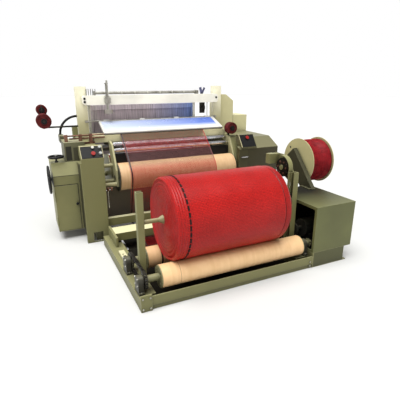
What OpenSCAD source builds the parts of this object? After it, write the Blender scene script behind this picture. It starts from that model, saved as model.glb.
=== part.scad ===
// Loom for open plastic mesh with a surface winder in front of it.
// X runs along the rollers, Y from the winder to the back of the loom, Z up from the floor.
// The origin lies on the floor, at the centre of the winder's four anchor holes.

/* [Winder base] */
// Width over the two side rails
base_w = 1640; // [1560:10:1720]
// Depth from the front rail to the rear end of the side rails
base_d = 1344; // [1300:4:1400]
// Height of the rails
rail_h = 100; // [90:1:104]
// Width of each side rail
rail_w = 140; // [136:1:150]
// Wall of the rails
rail_t = 10; // [6:1:12]
// Depth of the front rail's foot flange
front_flange = 60; // [40:1:60]
// Width of the corner plate at the front left
corner_w = 88; // [60:1:120]
// Rise of the front rail's lip over the side channels
front_lip = 16; // [0:1:20]
// Wall of the drip tray under the rollers
tray_t = 3; // [2:0.5:6]
// Height of the rear cross member's top
riser_h = 200; // [180:1:220]
// Radius of the anchor holes
anchor_r = 9; // [6:1:12]
// Distance of the anchor holes from the base's ends
anchor_in = 110; // [100:1:140]
// Distance between the two holes of the bolting pad
pad_pitch = 140; // [100:1:160]

/* [Winding rollers] */
// Radius of the rubber covered rollers
roller_r = 92; // [80:1:94]
// Thickness of the rubber cover
cover_t = 6; // [4:1:8]
// Height of the roller axes
roller_z = 198; // [196:1:220]
// Distance of the cover's left end from the base's left side
roller_left = 195; // [190:1:230]
// Distance of the cover's right end from the base's right side
roller_right = 88; // [80:1:120]
// Radius of the journals in the pillow blocks
journal_r = 25; // [18:1:30]
// Radius of the stub shafts
stub_r = 30; // [28:1:36]
// Pitch of the roller chain
chain_pitch = 25.4; // [25.4]
// Links between the two sprockets
chain_span = 14; // [14]
// Teeth of each sprocket
sprocket_teeth = 16; // [16]
// Teeth of the driven wheel in the cabinet
drive_teeth = 9; // [9]
// Radius of the chain's rollers
chain_roller_r = 7.9; // [6:0.1:8]

/* [Cloth roll] */
// Radius of the wound cloth
roll_r = 345; // [300:1:360]
// Distance of the roll's left end from the base's left side
roll_left = 300; // [290:1:340]
// Distance of the roll's right end from the base's right side
roll_right = 300; // [290:1:340]
// Radius of the roll shaft
roll_shaft_r = 18; // [16:1:24]
// Rise of the shaft in the posts as the roll grows
roll_rise = 120; // [60:1:130]
// Distance of the roll axis from the front of the base
roll_from_front = 300; // [296:1:310]

/* [Guide posts] */
// Width of the channel
post_w = 53; // [50:1:54]
// Depth of the channel
post_d = 50; // [50:1:60]
// Height of the posts above the floor
post_top = 850; // [830:1:900]
// Wall of the channel
post_t = 8; // [6:1:9]

/* [Drive cabinet] */
// Width of the cabinet
cab_w = 460; // [420:1:480]
// Depth of the cabinet
cab_d = 632; // [620:1:640]
// Height of the cabinet above its plinth
cab_h = 440; // [420:1:460]
// Height of the plinth
plinth_h = 148; // [140:1:160]
// Width of the plinth
plinth_w = 380; // [340:1:400]
// Sheet thickness of the cabinet
sheet_t = 5; // [4:1:6]

/* [Yarn spool] */
// Radius of the spool's flanges
spool_r = 245; // [220:1:246]
// Length over the flanges
spool_len = 275; // [220:1:280]
// Radius of the wound yarn
spool_yarn_r = 225; // [120:1:235]
// Radius of the spindle
spindle_r = 20; // [14:1:24]
// Angle at which the bracket leans back from upright
spool_lean = 42; // [38:1:44]

/* [Loom] */
// Inner width between the side frames
loom_w = 1640; // [1620:2:1660]
// Sideways place of the loom's middle
loom_shift = 70; // [60:1:80]
// Gap from the winder's base to the loom's front covers
loom_gap = 103; // [95:1:110]
// Depth of the loom from its front covers to the rear
loom_d = 1453; // [1440:1:1480]
// Thickness of each side frame
frame_t = 110; // [110]
// Height of the side frames
frame_h = 1005; // [1005]
// Height of the left end cover
cover_h = 870; // [860:1:880]
// Depth of the front covers
cover_d = 53; // [50:1:56]
// Height of the gantry uprights' tops
gantry_h = 1600; // [1560:1:1640]
// Height of the gantry beam's lower edge
beam_z = 1398; // [1396:1:1410]
// Height of the gantry beam
beam_h = 105; // [90:1:110]

/* [Take-up] */
// Radius of the take-up roller
take_up_r = 150; // [140:1:154]
// Wall of the take-up roller's cover
take_up_t = 8; // [5:1:10]
// Height of the take-up roller's axis
take_up_z = 652; // [648:1:660]
// Distance of the mesh from the left side frame
mesh_left = 295; // [280:1:310]
// Distance of the mesh from the right side frame
mesh_right = 300; // [290:1:320]
// Thickness of the mesh web
mesh_t = 2; // [1:0.5:3]
// Warp ends drawn through the reed
warp_ends = 52; // [30:1:60]

/* [Hand controls] */
// Radius of the horizontal handwheel
top_wheel_r = 82; // [70:1:90]
// Radius of the handwheel on the end
side_wheel_r = 150; // [130:1:155]
// Radius of the push buttons
button_r = 14; // [11:1:16]
// Travel of the push buttons
button_travel = 4; // [2:1:5]

/* [Hidden] */
$fn = 64;
olive = "#8b8a5e";
cream = "#e8cb98";
red = "#c22f2f";
steel = "#b9bbb8";
dark = "#2a2b2a";
copper = "#b9704c";

// Clearances: a running fit, a sliding face, and the gap between rolling surfaces
run = 0.05;
slide = 0.3;
roll_gap = 0.4;

// Winder places
base_l = -base_w / 2;
base_r = base_w / 2;
base_f = -base_d / 2;
base_b = base_d / 2;
roll_y = base_f + roll_from_front;
roller_gap = chain_pitch * chain_span;
front_y = roll_y - roller_gap / 2;
rear_y = roll_y + roller_gap / 2;
roll_z = roller_z + sqrt(pow(roll_r + roller_r + roll_gap, 2) - pow(roller_gap / 2, 2));
roller_l = base_l + roller_left;
roller_rt = base_r - roller_right;
end_disc = 8;
bearing_w = 44;
bearing_l = base_l + 8;
bearing_rt = base_r - 8 - bearing_w;
chain_x = base_l + 68;
function pitch_r(teeth) = chain_pitch / 2 / sin(180 / teeth);
sprocket_pitch_r = pitch_r(sprocket_teeth);
sprocket_w = 11;
left_post_x = base_l + 84;
right_post_x = base_r - 7 - post_w;
roll_l = base_l + roll_left;
roll_rt = base_r - roll_right;
roll_len = roll_rt - roll_l;
bush_h = 90;
drive_reach = 62;

// Cabinet and spool places
cab_l = base_r;
cab_rt = cab_l + cab_w;
cab_b = base_f + cab_d;
cab_top = plinth_h + cab_h;
spool_l = cab_rt - 60;
spool_y = cab_b + 144;
spool_z = cab_top + 240;

// Lift gear places
lift_x = right_post_x + 30;
lift_y = roll_y + 155;
lift_z = post_top + 20;
lift_wheel_r = 90;

// Loom places
loom_l = loom_shift - loom_w / 2;
loom_r = loom_shift + loom_w / 2;
loom_f = base_b + loom_gap;
loom_b = loom_f + loom_d;
frame_f = loom_f + cover_d;
cover_l = loom_l - 217;
gear_l = loom_l - 475;
gear_f = loom_f + 213;
gear_b = loom_f + 603;
gear_z = 100;
gear_top = 840;
gear_slope_z = 715;
gear_slope_d = 85;
door_t = 4;
door_w = 228;
door_z0 = 112;
door_z1 = 610;
right_w = 448;
right_front_w = 565;
hood_z = 876;
hood_top = 985;
hood_d = 203;
right_b = loom_f + 1100;
right_l = loom_r - 7;

// Consoles: left and right end, front edge, lip height, depth and rise of the sloping face
left_console = [loom_l - 205, loom_l + 20, loom_f, 910, 85, 115];
right_console = [loom_r + 25, loom_r + 235, loom_f - 7, 893, 100, 142];
plate_t = 4;

// Gantry places
upright_w = 120;
upright_d = 70;
upright_f = loom_f + 703;
beam_d = 60;
tube_z = 1527;
tube_r = 17;

// Breast beam, guard and rollers
breast_f = loom_f + 403;
breast_d = 140;
breast_z0 = frame_h;
breast_z1 = 1090;
nose_r = 20;
hinge_y = upright_f - 12;
hinge_z = 1212;
hinge_r = 8;
guard_tilt = 21;
guard_len = 312;
guard_t = 14;
guard_l = loom_l + 118;
guard_w = loom_r - 22 - guard_l;
upper_y = loom_f + 336;
upper_z = 985;
upper_r = 26;
lower_y = loom_f + 271;
lower_z = 930;
lower_r = 22;
guide_l = loom_l + 195;
guide_rt = loom_r - 50;
take_up_y = loom_f + 173;
take_up_l = loom_l + 187;
take_up_rt = loom_r - 30;
return_r = 25;
return_y = loom_f + 153;
return_z = roller_z - roller_r + return_r;

// Shed, warp beam and back rest; the net draws in by its spread as it is wound
net_spread = 5;
warp_z = breast_z1 + roll_gap + mesh_t / 2;
fell_y = breast_f + breast_d + 25;
mesh_l = loom_l + mesh_left;
mesh_rt = loom_r - mesh_right;
mesh_w = mesh_rt - mesh_l;
warp_pitch = mesh_w / warp_ends;
sley_y = loom_f + 713;
sley_z = 900;
heald_y = [loom_f + 800, loom_f + 845];
heald_d = 28;
heald_z0 = 800;
heald_z1 = 1385;
heald_rail = 55;
heald_lift = 30;
heald_l = loom_l + 62;
heald_rt = loom_r - 268;
warp_y = loom_b - 340;
beam_axis_z = 480;
flange_r = 300;
warp_r = 240;
rest_y = loom_b - 140;
rest_r = 45;
rest_z = warp_z - rest_r - 1.5;

// Helpers: a box between two corners, rods along each axis, and prisms drawn in the YZ or XZ plane
module bar(a, b) translate(a) cube(b - a);
module xrod(x0, x1, y, z, r) translate([x0, y, z]) rotate([0, 90, 0]) cylinder(h = x1 - x0, r = r);
module yrod(y0, y1, x, z, r) translate([x, y1, z]) rotate([90, 0, 0]) cylinder(h = y1 - y0, r = r);
module zrod(z0, z1, x, y, r) translate([x, y, z0]) cylinder(h = z1 - z0, r = r);
module xprism(x0, x1) translate([x0, 0, 0]) rotate([90, 0, 90]) linear_extrude(x1 - x0) children();
module yprism(y0, y1) translate([0, y1, 0]) rotate([90, 0, 0]) linear_extrude(y1 - y0) children();

// A toothed wheel for the roller chain, flat in XY: gaps where the rollers sit, and flanks cleared where they run off straight
module sprocket(teeth) linear_extrude(sprocket_w, center = true) difference() {
    circle(pitch_r(teeth) + 5);
    for (k = [0 : teeth - 1]) rotate(k * 360 / teeth) for (y = [-chain_pitch, 0, chain_pitch])
        translate([pitch_r(teeth), y]) circle(chain_roller_r + slide);
}

// Part of a ring about a point, between two angles
module ring_sector(c, r, t, a0, a1) translate(c) intersection() {
    difference() {
        circle(r + t / 2);
        circle(r - t / 2);
    }
    polygon(concat([[0, 0]], [for (i = [0 : 4]) let (a = a0 + (a1 - a0) * i / 4) 3 * r * [cos(a), sin(a)]]));
}

// A straight bar of a chain link between two points
module link_bar(a, b, t) translate(a) rotate(atan2(b[1] - a[1], b[0] - a[0]))
    translate([0, -t / 2]) square([norm(b - a), t]);

// Webs run over wheels in the YZ plane; a wheel is [y, z, radius, turn], and a tangent is known by its normal's angle
function tangent(a, b) = let (d = [b[0] - a[0], b[1] - a[1]])
    atan2(d[1], d[0]) + acos((b[3] * b[2] - a[3] * a[2]) / norm(d));
function touch_angle(w, n) = w[3] > 0 ? n + 180 : n;
function entry(ws, i, first) = i == 0 ? first : touch_angle(ws[i], tangent(ws[i - 1], ws[i]));
function leave(ws, i, last) = i == len(ws) - 1 ? last : touch_angle(ws[i], tangent(ws[i], ws[i + 1]));
function wrap(w, a0, a1) = let (d = (w[3] * (a1 - a0) + 720) % 360) d > 300 ? 0 : w[3] * d;
function arc_side(w, a0, turn, h) = let (n = max(1, ceil(abs(turn) / 5)), r = w[2] + w[3] * h)
    [for (i = [0 : n]) [w[0], w[1]] + r * [cos(a0 + turn * i / n), sin(a0 + turn * i / n)]];
function web_side(ws, first, last, h) = [for (i = [0 : len(ws) - 1]) let (a0 = entry(ws, i, first))
    each arc_side(ws[i], a0, wrap(ws[i], a0, leave(ws, i, last)), h)];
function back(v) = [for (i = [len(v) - 1 : -1 : 0]) v[i]];

// Outline of a web: along one face and back along the other, with a straight end before or after the wheels
module web_outline(ws, first, last, t, head = [], tail = []) polygon(concat(
    [for (p = head) p + [0, t / 2]], web_side(ws, first, last, t / 2), [for (p = tail) p + [0, t / 2]],
    [for (p = tail) p - [0, t / 2]], back(web_side(ws, first, last, -t / 2)), [for (p = head) p - [0, t / 2]]
));

// Places a child on a console's sloping face: X along it, Y up the slope, Z out of it
module on_console(c) translate([0, c[2], c[3]]) rotate([atan2(c[5], c[4]), 0, 0]) children();

// Winder base
module front_rail() color(olive) xprism(base_l + corner_w, base_r - 0.5) translate([base_f, 0]) polygon([
    [8, 0], [front_flange, 0], [front_flange, rail_t], [18, rail_t], [18, 48], [10, 48],
    [10, rail_h + front_lip], [0, rail_h + front_lip], [0, 38], [8, 38]
]);

module side_channel(x0, lug_x) {
    difference() {
        bar([x0, base_f + front_flange, 0], [x0 + rail_w, base_b, rail_h]);
        bar([x0 + rail_t, base_f + front_flange - 1, -1], [x0 + rail_w - rail_t, base_b + 1, rail_h - rail_t]);
    }
    for (y = [base_f + anchor_in, base_b - anchor_in]) difference() {
        bar([lug_x - 26, y - 30, 0], [lug_x + 26, y + 30, 12]);
        zrod(-1, 13, lug_x, y, anchor_r);
    }
}

module left_rail() color(olive) difference() {
    union() {
        side_channel(base_l, base_l + rail_w + 25);
        bar([base_l, base_f - 8, 0], [base_l + corner_w, base_f + 4, rail_h + front_lip + 22]);
        bar([base_l, base_f, rail_h - 9], [base_l + corner_w, base_f + front_flange + 1, rail_h - 1]);
        for (x = [base_l, base_l + corner_w - 12]) bar([x, base_f, 0], [x + 12, base_f + front_flange + 1, rail_h - 1]);
        bar([base_l + 46, base_f + 600, rail_h - 1], [base_l + 98, base_f + 870, rail_h + 25]);
        bar([base_l + 58, base_b - 344, rail_h - 1], [base_l + 80, base_b, riser_h]);
    }
    for (y = [0, pad_pitch]) zrod(rail_h - rail_t - 1, rail_h + 26, base_l + 68, base_f + 640 + y, anchor_r);
}

module right_rail() color(olive) {
    side_channel(base_r - rail_w, base_r - rail_w - 25);
    bar([base_r - 80, base_b - 344, rail_h - 1], [base_r - 58, base_b, riser_h]);
    difference() {
        bar([base_r - 0.5, base_f, 0], [base_r + plinth_w, base_f + 600, plinth_h]);
        bar([base_r + 6, base_f + 6, -1], [base_r + plinth_w - 6, base_f + 594, plinth_h - 6]);
    }
    bar([base_r + plinth_w - 6, base_f, 0], [base_r + plinth_w + 40, base_f + 600, 8]);
}

module cross_members() color(olive) {
    difference() {
        bar([base_l + 80, base_b - 234, 118], [base_r - 80, base_b - 54, riser_h]);
        bar([base_l + 79, base_b - 226, 110], [base_r - 79, base_b - 62, riser_h - 8]);
    }
    bar([loom_l, frame_f + 5, 140], [loom_r, frame_f + 65, 225]);
    bar([loom_l, loom_b - 90, 140], [loom_r, loom_b - 30, 225]);
    xrod(loom_l, loom_r, return_y, return_z, return_r);
    difference() {
        bar([base_l + rail_w, base_f + front_flange, 0], [base_r - rail_w, base_b - 234, tray_t]);
        for (x = [base_l + rail_w, base_r - rail_w])
            bar([x - 60, base_f + anchor_in - 40, -1], [x + 60, base_f + anchor_in + 40, tray_t + 1]);
    }
    xprism(loom_l, loom_r) translate([frame_f + 282, 140]) polygon([
        [0, 0], [45, 0], [45, 8], [8, 8], [8, 372], [45, 372], [45, 380], [0, 380]
    ]);
}

module post(x0, web_x) {
    for (y = [roll_y - post_d / 2, roll_y + post_d / 2 - post_t])
        bar([x0, y, rail_h], [x0 + post_w, y + post_t, post_top]);
    bar([web_x, roll_y - post_d / 2, rail_h], [web_x + post_t, roll_y + post_d / 2, post_top]);
    bar([x0, roll_y - post_d / 2 - 22, rail_h], [x0 + post_w, roll_y + post_d / 2 + 22, rail_h + 10]);
}
module guide_posts() color(olive) {
    post(left_post_x, left_post_x);
    post(right_post_x, right_post_x + post_w - post_t);
}

module roller_bearings() color(olive)
    for (x = [bearing_l, bearing_rt], y = [front_y, rear_y]) xprism(x, x + bearing_w) difference() {
        union() {
            translate([y, roller_z]) circle(48);
            translate([y - 48, rail_h]) square([96, roller_z - rail_h]);
            translate([y - 61, rail_h]) square([122, 20]);
        }
        translate([y, roller_z]) circle(journal_r + run);
    }

// Winding rollers: a tube on a shaft, closed by discs, with the chain wheel on the left stub
module roller_core(y, right_end) difference() {
    union() {
        xrod(base_l + 5, right_end, y, roller_z, journal_r);
        xrod(base_l + 56, bearing_rt - 3, y, roller_z, stub_r);
        difference() {
            xrod(roller_l, roller_rt, y, roller_z, roller_r - cover_t - run);
            xrod(roller_l - 1, roller_rt + 1, y, roller_z, roller_r - cover_t - 8);
        }
        for (x = [roller_l - end_disc, roller_rt]) xrod(x, x + end_disc, y, roller_z, roller_r - 2);
        translate([chain_x, y, roller_z]) rotate([90, 0, 90]) sprocket(sprocket_teeth);
    }
    for (a = [45 : 90 : 315]) xrod(roller_l - end_disc - 1, roller_rt + end_disc + 1,
        y + (stub_r + 22) * cos(a), roller_z + (stub_r + 22) * sin(a), 12);
}
module roller_cover(y) difference() {
    xrod(roller_l, roller_rt, y, roller_z, roller_r);
    xrod(roller_l - 1, roller_rt + 1, y, roller_z, roller_r - cover_t);
}
module front_roller_core() color(steel) {
    roller_core(front_y, base_r + drive_reach);
    translate([base_r + 36, front_y, roller_z]) rotate([90, 0, 90]) sprocket(drive_teeth);
}
module front_roller_cover() color(cream) roller_cover(front_y);
module rear_roller_core() color(steel) roller_core(rear_y, base_r - 5);
module rear_roller_cover() color(cream) roller_cover(rear_y);

// Roller chain in four lengths, two straight and two round the sprockets
module chain_plate(a, b, x) xprism(x, x + 2.8) {
    translate(a) circle(10.5);
    translate(b) circle(10.5);
    link_bar(a, b, 16);
}
module chain_length(p) {
    n = len(p) - 1;
    for (k = [0 : n - 1]) for (x = k % 2 == 0 ? [-12, 9.2] : [-8.8, 6]) chain_plate(p[k], p[k + 1], chain_x + x);
    for (k = [1 : n]) xrod(chain_x - 6, chain_x + 6, p[k][0], p[k][1], chain_roller_r);
    for (k = [1 : n - 1]) xrod(chain_x - 12, chain_x + 12, p[k][0], p[k][1], 4);
}
module roller_chain() color(dark) {
    step = 360 / sprocket_teeth;
    for (s = [1, -1]) chain_length([for (i = [0 : chain_span])
        [roll_y - s * (roller_gap / 2 - i * chain_pitch), roller_z + s * sprocket_pitch_r]]);
    for (s = [1, -1]) chain_length([for (j = [0 : sprocket_teeth / 2])
        [roll_y + s * roller_gap / 2, roller_z] + s * sprocket_pitch_r * [cos(90 - j * step), sin(90 - j * step)]]);
}

// Cloth roll on its shaft, carried by bushes that rise in the posts
module roll_bushes() color(dark) for (x = [left_post_x + post_t + slide, right_post_x - 3]) difference() {
    bar([x, roll_y - post_d / 2 + post_t + slide, roll_z - bush_h / 2],
        [x + post_w - post_t - slide + 3, roll_y + post_d / 2 - post_t - slide, roll_z + bush_h / 2]);
    xrod(x - 1, x + post_w, roll_y, roll_z, 12 + run);
}
module roll_shaft() color(steel) {
    xrod(left_post_x + 14, right_post_x + post_w - 14, roll_y, roll_z, 12);
    xrod(left_post_x + post_w + 5, right_post_x - 5, roll_y, roll_z, roll_shaft_r);
    translate([roll_l - 38, roll_y, roll_z]) rotate([0, 90, 0]) cylinder(h = 38, r1 = roll_shaft_r, r2 = roll_shaft_r * 2);
    xrod(roll_l + roll_len, roll_l + roll_len + 30, roll_y, roll_z, roll_shaft_r * 2);
}
function end_rings(x, depth) = [for (k = [0 : 11]) [roll_shaft_r * 2 + 14 + k * (roll_r - roll_shaft_r * 2 - 44) / 11, x + (k % 2) * depth]];
module cloth_roll() color(red) translate([roll_l, roll_y, roll_z]) rotate([0, 90, 0]) rotate_extrude() {
    rings = end_rings(0, 5);
    far = end_rings(roll_len, -5);
    polygon(concat(
        [[roll_shaft_r + run, 0]], rings,
        [[roll_r - 14, 2], [roll_r - 4, 12], [roll_r - 2, 92], [roll_r - 5, 95], [roll_r - 5, 101], [roll_r, 106],
         [roll_r, roll_len - 82], [roll_r - 4, roll_len - 76], [roll_r - 3, roll_len - 12], [roll_r - 14, roll_len - 2]],
        [for (k = [11 : -1 : 0]) far[k]], [[roll_shaft_r + run, roll_len]]
    ));
}

// Drive cabinet, its motor, and the lifting gear on the right post
module drive_cabinet() color(olive) difference() {
    bar([cab_l, base_f, plinth_h], [cab_rt, cab_b, cab_top]);
    bar([cab_l + sheet_t, base_f + sheet_t, plinth_h + sheet_t], [cab_rt - sheet_t, cab_b - sheet_t, cab_top - sheet_t]);
    bar([cab_l - 1, base_f + 28, plinth_h + 20], [cab_l + sheet_t + 1, cab_b - 32, cab_top - 28]);
}
module drive_motor() color(olive) {
    y = base_f + 330;
    z = plinth_h + sheet_t + 112;
    xrod(cab_l + 120, cab_l + 400, y, z, 88);
    bar([cab_l + 160, y - 80, plinth_h + sheet_t], [cab_l + 360, y + 80, z - 50]);
    xrod(cab_l + 30, cab_l + 121, y, z, 18);
    xrod(cab_l + 30, cab_l + 44, y, z, 60);
}

module lift_bracket() color(olive) {
    plate = lift_x;
    back = roll_y + post_d / 2;
    xprism(plate, plate + 8) polygon([
        [back, post_top - 130], [back, post_top - 5], [lift_y - 60, lift_z + 60], [lift_y + 30, lift_z + 118],
        [lift_y + 165, lift_z + 118], [lift_y + 165, lift_z + 20], [lift_y + 60, lift_z - 60]
    ]);
    xrod(plate - 48, plate + 1, lift_y, lift_z, 15);
    xrod(plate - 48, plate - 39, lift_y, lift_z, 24);
    xprism(plate - 45, plate + 1) ring_sector([lift_y, lift_z], 115, 6, 75, 200);
    bar([plate - 110, lift_y + 105, lift_z + 20], [plate - 42, lift_y + 165, lift_z + 115]);
    bar([plate - 43, lift_y + 105, lift_z + 25], [plate + 1, lift_y + 165, lift_z + 112]);
}
module lift_wheel() color(dark) xprism(lift_x - 37, lift_x - 15) difference() {
    circle_at = [lift_y, lift_z];
    translate(circle_at) circle(lift_wheel_r);
    translate(circle_at) circle(15 + run);
    for (k = [0 : 23]) translate(circle_at) rotate(k * 15) translate([lift_wheel_r, 0]) circle(6);
}

// Yarn spool on a channel that leans back from the cabinet's top
module spool_bracket() color(olive) {
    foot = cab_top + 12;
    foot_y = spool_y - (spool_z - foot) * tan(spool_lean);
    bar([spool_l - 80, foot_y - 95, cab_top], [spool_l + 15, cab_b, foot]);
    difference() {
        translate([0, foot_y, foot]) rotate([-spool_lean, 0, 0]) {
            bar([spool_l - 55, -75, -90], [spool_l - 47, 75, 430]);
            for (y = [-75, 67]) bar([spool_l - 55, y, -90], [spool_l - 10, y + 8, 430]);
        }
        bar([spool_l - 100, foot_y - 300, cab_top - 200], [spool_l + 50, foot_y + 300, cab_top + 6]);
    }
    xrod(spool_l - 54, spool_l + spool_len + 22, spool_y, spool_z, spindle_r);
    xrod(spool_l - 48, spool_l - 1, spool_y, spool_z, spindle_r + 12);
    xrod(spool_l + spool_len + 1, spool_l + spool_len + 22, spool_y, spool_z, spindle_r + 10);
}
module yarn_spool() color(olive) difference() {
    union() {
        for (x = [spool_l, spool_l + spool_len - 6]) xrod(x, x + 6, spool_y, spool_z, spool_r);
        xrod(spool_l, spool_l + spool_len, spool_y, spool_z, 60);
    }
    xrod(spool_l - 1, spool_l + spool_len + 1, spool_y, spool_z, spindle_r + run);
}
module spool_yarn() color(red) difference() {
    xrod(spool_l + 6, spool_l + spool_len - 6, spool_y, spool_z, spool_yarn_r);
    xrod(spool_l, spool_l + spool_len, spool_y, spool_z, 60 + run);
}

// Loom frame and covers
module side_frames() color(olive) for (x = [loom_l - frame_t, loom_r]) xprism(x, x + frame_t) difference() {
    union() {
        translate([loom_f, 0]) polygon([
            [cover_d, 0], [cover_d, 700], [253, frame_h], [1053, frame_h], [loom_d, 800], [loom_d, 0],
            [1250, 0], [1150, 150], [450, 150], [350, 0]
        ]);
        translate([rest_y, 0]) polygon([[-60, 850], [-40, rest_z + 60], [40, rest_z + 60], [60, 820]]);
    }
    for (p = [[loom_f + 420, 480], [loom_f + 420, 760], [loom_f + 760, 480], [loom_f + 760, 720]]) translate(p) circle(105);
    translate([sley_y, sley_z]) circle(20 + run);
    translate([warp_y, beam_axis_z]) circle(30 + run);
    translate([rest_y, rest_z]) circle(20 + run);
}

module console(c, base) difference() {
    xprism(c[0], c[1]) polygon([
        [c[2], base], [c[2], c[3]], [c[2] + c[4], c[3] + c[5]], [c[2] + 155, c[3] + c[5]], [c[2] + 155, base + 60],
        [c[2] + cover_d, base]
    ]);
    for (p = button_places) if (p[0] == c) on_console(c) translate([p[1], p[2], -30]) cylinder(h = 40, r = 6 + run);
}
// Push buttons: the console, the place along it and up its slope, and the cap's radius
button_places = [
    [left_console, loom_l - 77, 120, button_r], [left_console, loom_l - 6, 122, button_r],
    [left_console, loom_l - 7, 52, button_r], [left_console, loom_l - 80, 52, button_r + 7],
    [right_console, loom_r + 129, 124, button_r + 8]
];

module left_end_cover() color(olive) {
    difference() {
        bar([cover_l, loom_f, 0], [loom_l + 15, frame_f, cover_h]);
        bar([cover_l + sheet_t, loom_f + sheet_t, -1], [loom_l + 15 - sheet_t, frame_f + 1, cover_h - sheet_t]);
        bar([loom_l - 150, loom_f - 1, 15], [loom_l - 48, loom_f + sheet_t + 1, 115]);
    }
    difference() {
        bar([cover_l, frame_f - sheet_t, 115], [loom_l - frame_t, gear_b, gear_top]);
        bar([cover_l + sheet_t, frame_f - sheet_t - 1, 114], [loom_l - frame_t + 1, gear_b - sheet_t, gear_top - sheet_t]);
    }
    console(left_console, cover_h);
}

module right_cabinet() color(olive) {
    rise = (hood_top - hood_z) / hood_d;
    difference() {
        xprism(right_l, loom_r + frame_t + 1) polygon([
            [loom_f, 0], [loom_f, hood_z], [frame_f, hood_z + rise * cover_d], [frame_f, 0]
        ]);
        xprism(right_l + sheet_t, loom_r + frame_t) polygon([
            [loom_f + sheet_t, -1], [loom_f + sheet_t, hood_z - sheet_t], [frame_f + 1, hood_z + rise * cover_d - sheet_t - 2], [frame_f + 1, -1]
        ]);
    }
    difference() {
        xprism(loom_r + frame_t, right_l + right_front_w) polygon([
            [loom_f, 0], [loom_f, hood_z], [loom_f + hood_d, hood_top], [right_b, hood_top], [right_b, 0]
        ]);
        xprism(loom_r + frame_t + sheet_t, right_l + right_front_w - sheet_t) polygon([
            [loom_f + sheet_t, -1], [loom_f + sheet_t, hood_z - 3], [loom_f + hood_d + 2, hood_top - sheet_t],
            [right_b - sheet_t, hood_top - sheet_t], [right_b - sheet_t, -1]
        ]);
    }
    difference() {
        console(right_console, hood_z);
        xprism(right_console[0] - 1, right_console[1] + 1) polygon([
            [loom_f - 40, hood_z - 6], [loom_f, hood_z - 0.5], [loom_f + 300, hood_z - 0.5 + 300 * rise], [loom_f + 300, 0]
        ]);
    }
}

module console_plate(c) on_console(c) bar([c[0] + 7, 6, 0], [c[1] - 7, norm([c[4], c[5]]) - 6, plate_t]);
module control_plates() color(dark) difference() {
    union() {
        for (c = [left_console, right_console]) console_plate(c);
        for (p = button_places) on_console(p[0]) translate([p[1], p[2], 0]) cylinder(h = plate_t + 5, r = 18);
    }
    for (p = button_places) on_console(p[0]) translate([p[1], p[2], -1]) {
        cylinder(h = 40, r = 6 + run);
    }
}
module push_button(i, c) color(c) {
    p = button_places[i];
    on_console(p[0]) translate([p[1], p[2], 0]) {
        translate([0, 0, -12]) cylinder(h = 30, r = 6);
        translate([0, 0, plate_t + 5 + button_travel + 1]) cylinder(h = 8, r = p[3]);
    }
}
module start_button() push_button(0, "white");
module jog_button() push_button(1, "gainsboro");
module reverse_button() push_button(2, "gainsboro");
module stop_button() push_button(3, red);
module right_stop_button() push_button(4, red);

// Gear box with its door and two handwheels
hinge_x = gear_l;
door_axis_y = gear_f - 6;
knuckles = [door_z0 + 90, door_z1 - 130];
module gear_outline(inset) polygon([
    [gear_f + inset, gear_z + inset], [gear_f + inset, gear_slope_z - inset / 2],
    [gear_f + gear_slope_d + inset / 2, gear_top - inset], [gear_b - inset, gear_top - inset], [gear_b - inset, gear_z + inset]
]);
side_wheel_y = gear_f + 60;
side_wheel_z = 672;
top_wheel_x = gear_l + 60;
top_wheel_y = gear_f + 115;
top_wheel_z = 898;
module gear_box() color(olive) {
    difference() {
        xprism(gear_l, cover_l) gear_outline(0);
        xprism(gear_l + sheet_t, cover_l - sheet_t) gear_outline(sheet_t);
        bar([gear_l + 18, gear_f - 1, door_z0 + 15], [gear_l + door_w - 12, gear_f + sheet_t + 1, door_z1 - 15]);
        xrod(gear_l - 1, gear_l + 20, side_wheel_y, side_wheel_z, 12 + run);
        zrod(gear_top - 20, gear_top + 1, top_wheel_x, top_wheel_y, 10 + run);
    }
    for (z = knuckles) {
        for (k = [z - 30, z + 40.3]) {
            zrod(k, k + 29.7, hinge_x, door_axis_y, 5);
            bar([hinge_x, door_axis_y, k], [hinge_x + 4.5, gear_f + 1, k + 29.7]);
        }
        zrod(z - 1, z + 41, hinge_x, door_axis_y, 2.5);
    }
}
module gear_box_door() color(olive) {
    difference() {
        union() {
            bar([gear_l + 5, gear_f - door_t - slide, door_z0], [gear_l + 5 + door_w, gear_f - slide, door_z1]);
            for (z = knuckles) {
                zrod(z, z + 40, hinge_x, door_axis_y, 5);
                bar([hinge_x, gear_f - door_t - slide, z], [hinge_x + 6, gear_f - slide, z + 40]);
            }
        }
        for (z = knuckles) {
            zrod(z - 1, z + 41, hinge_x, door_axis_y, 2.5 + run);
            for (k = [z - 31, z + 40]) bar([hinge_x - 8, gear_f - 12, k], [hinge_x + 6, gear_f, k + 31]);
        }
    }
    yrod(gear_f - door_t - 16, gear_f - door_t - slide + 1, gear_l + door_w - 14, 400, 13);
}

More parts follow.
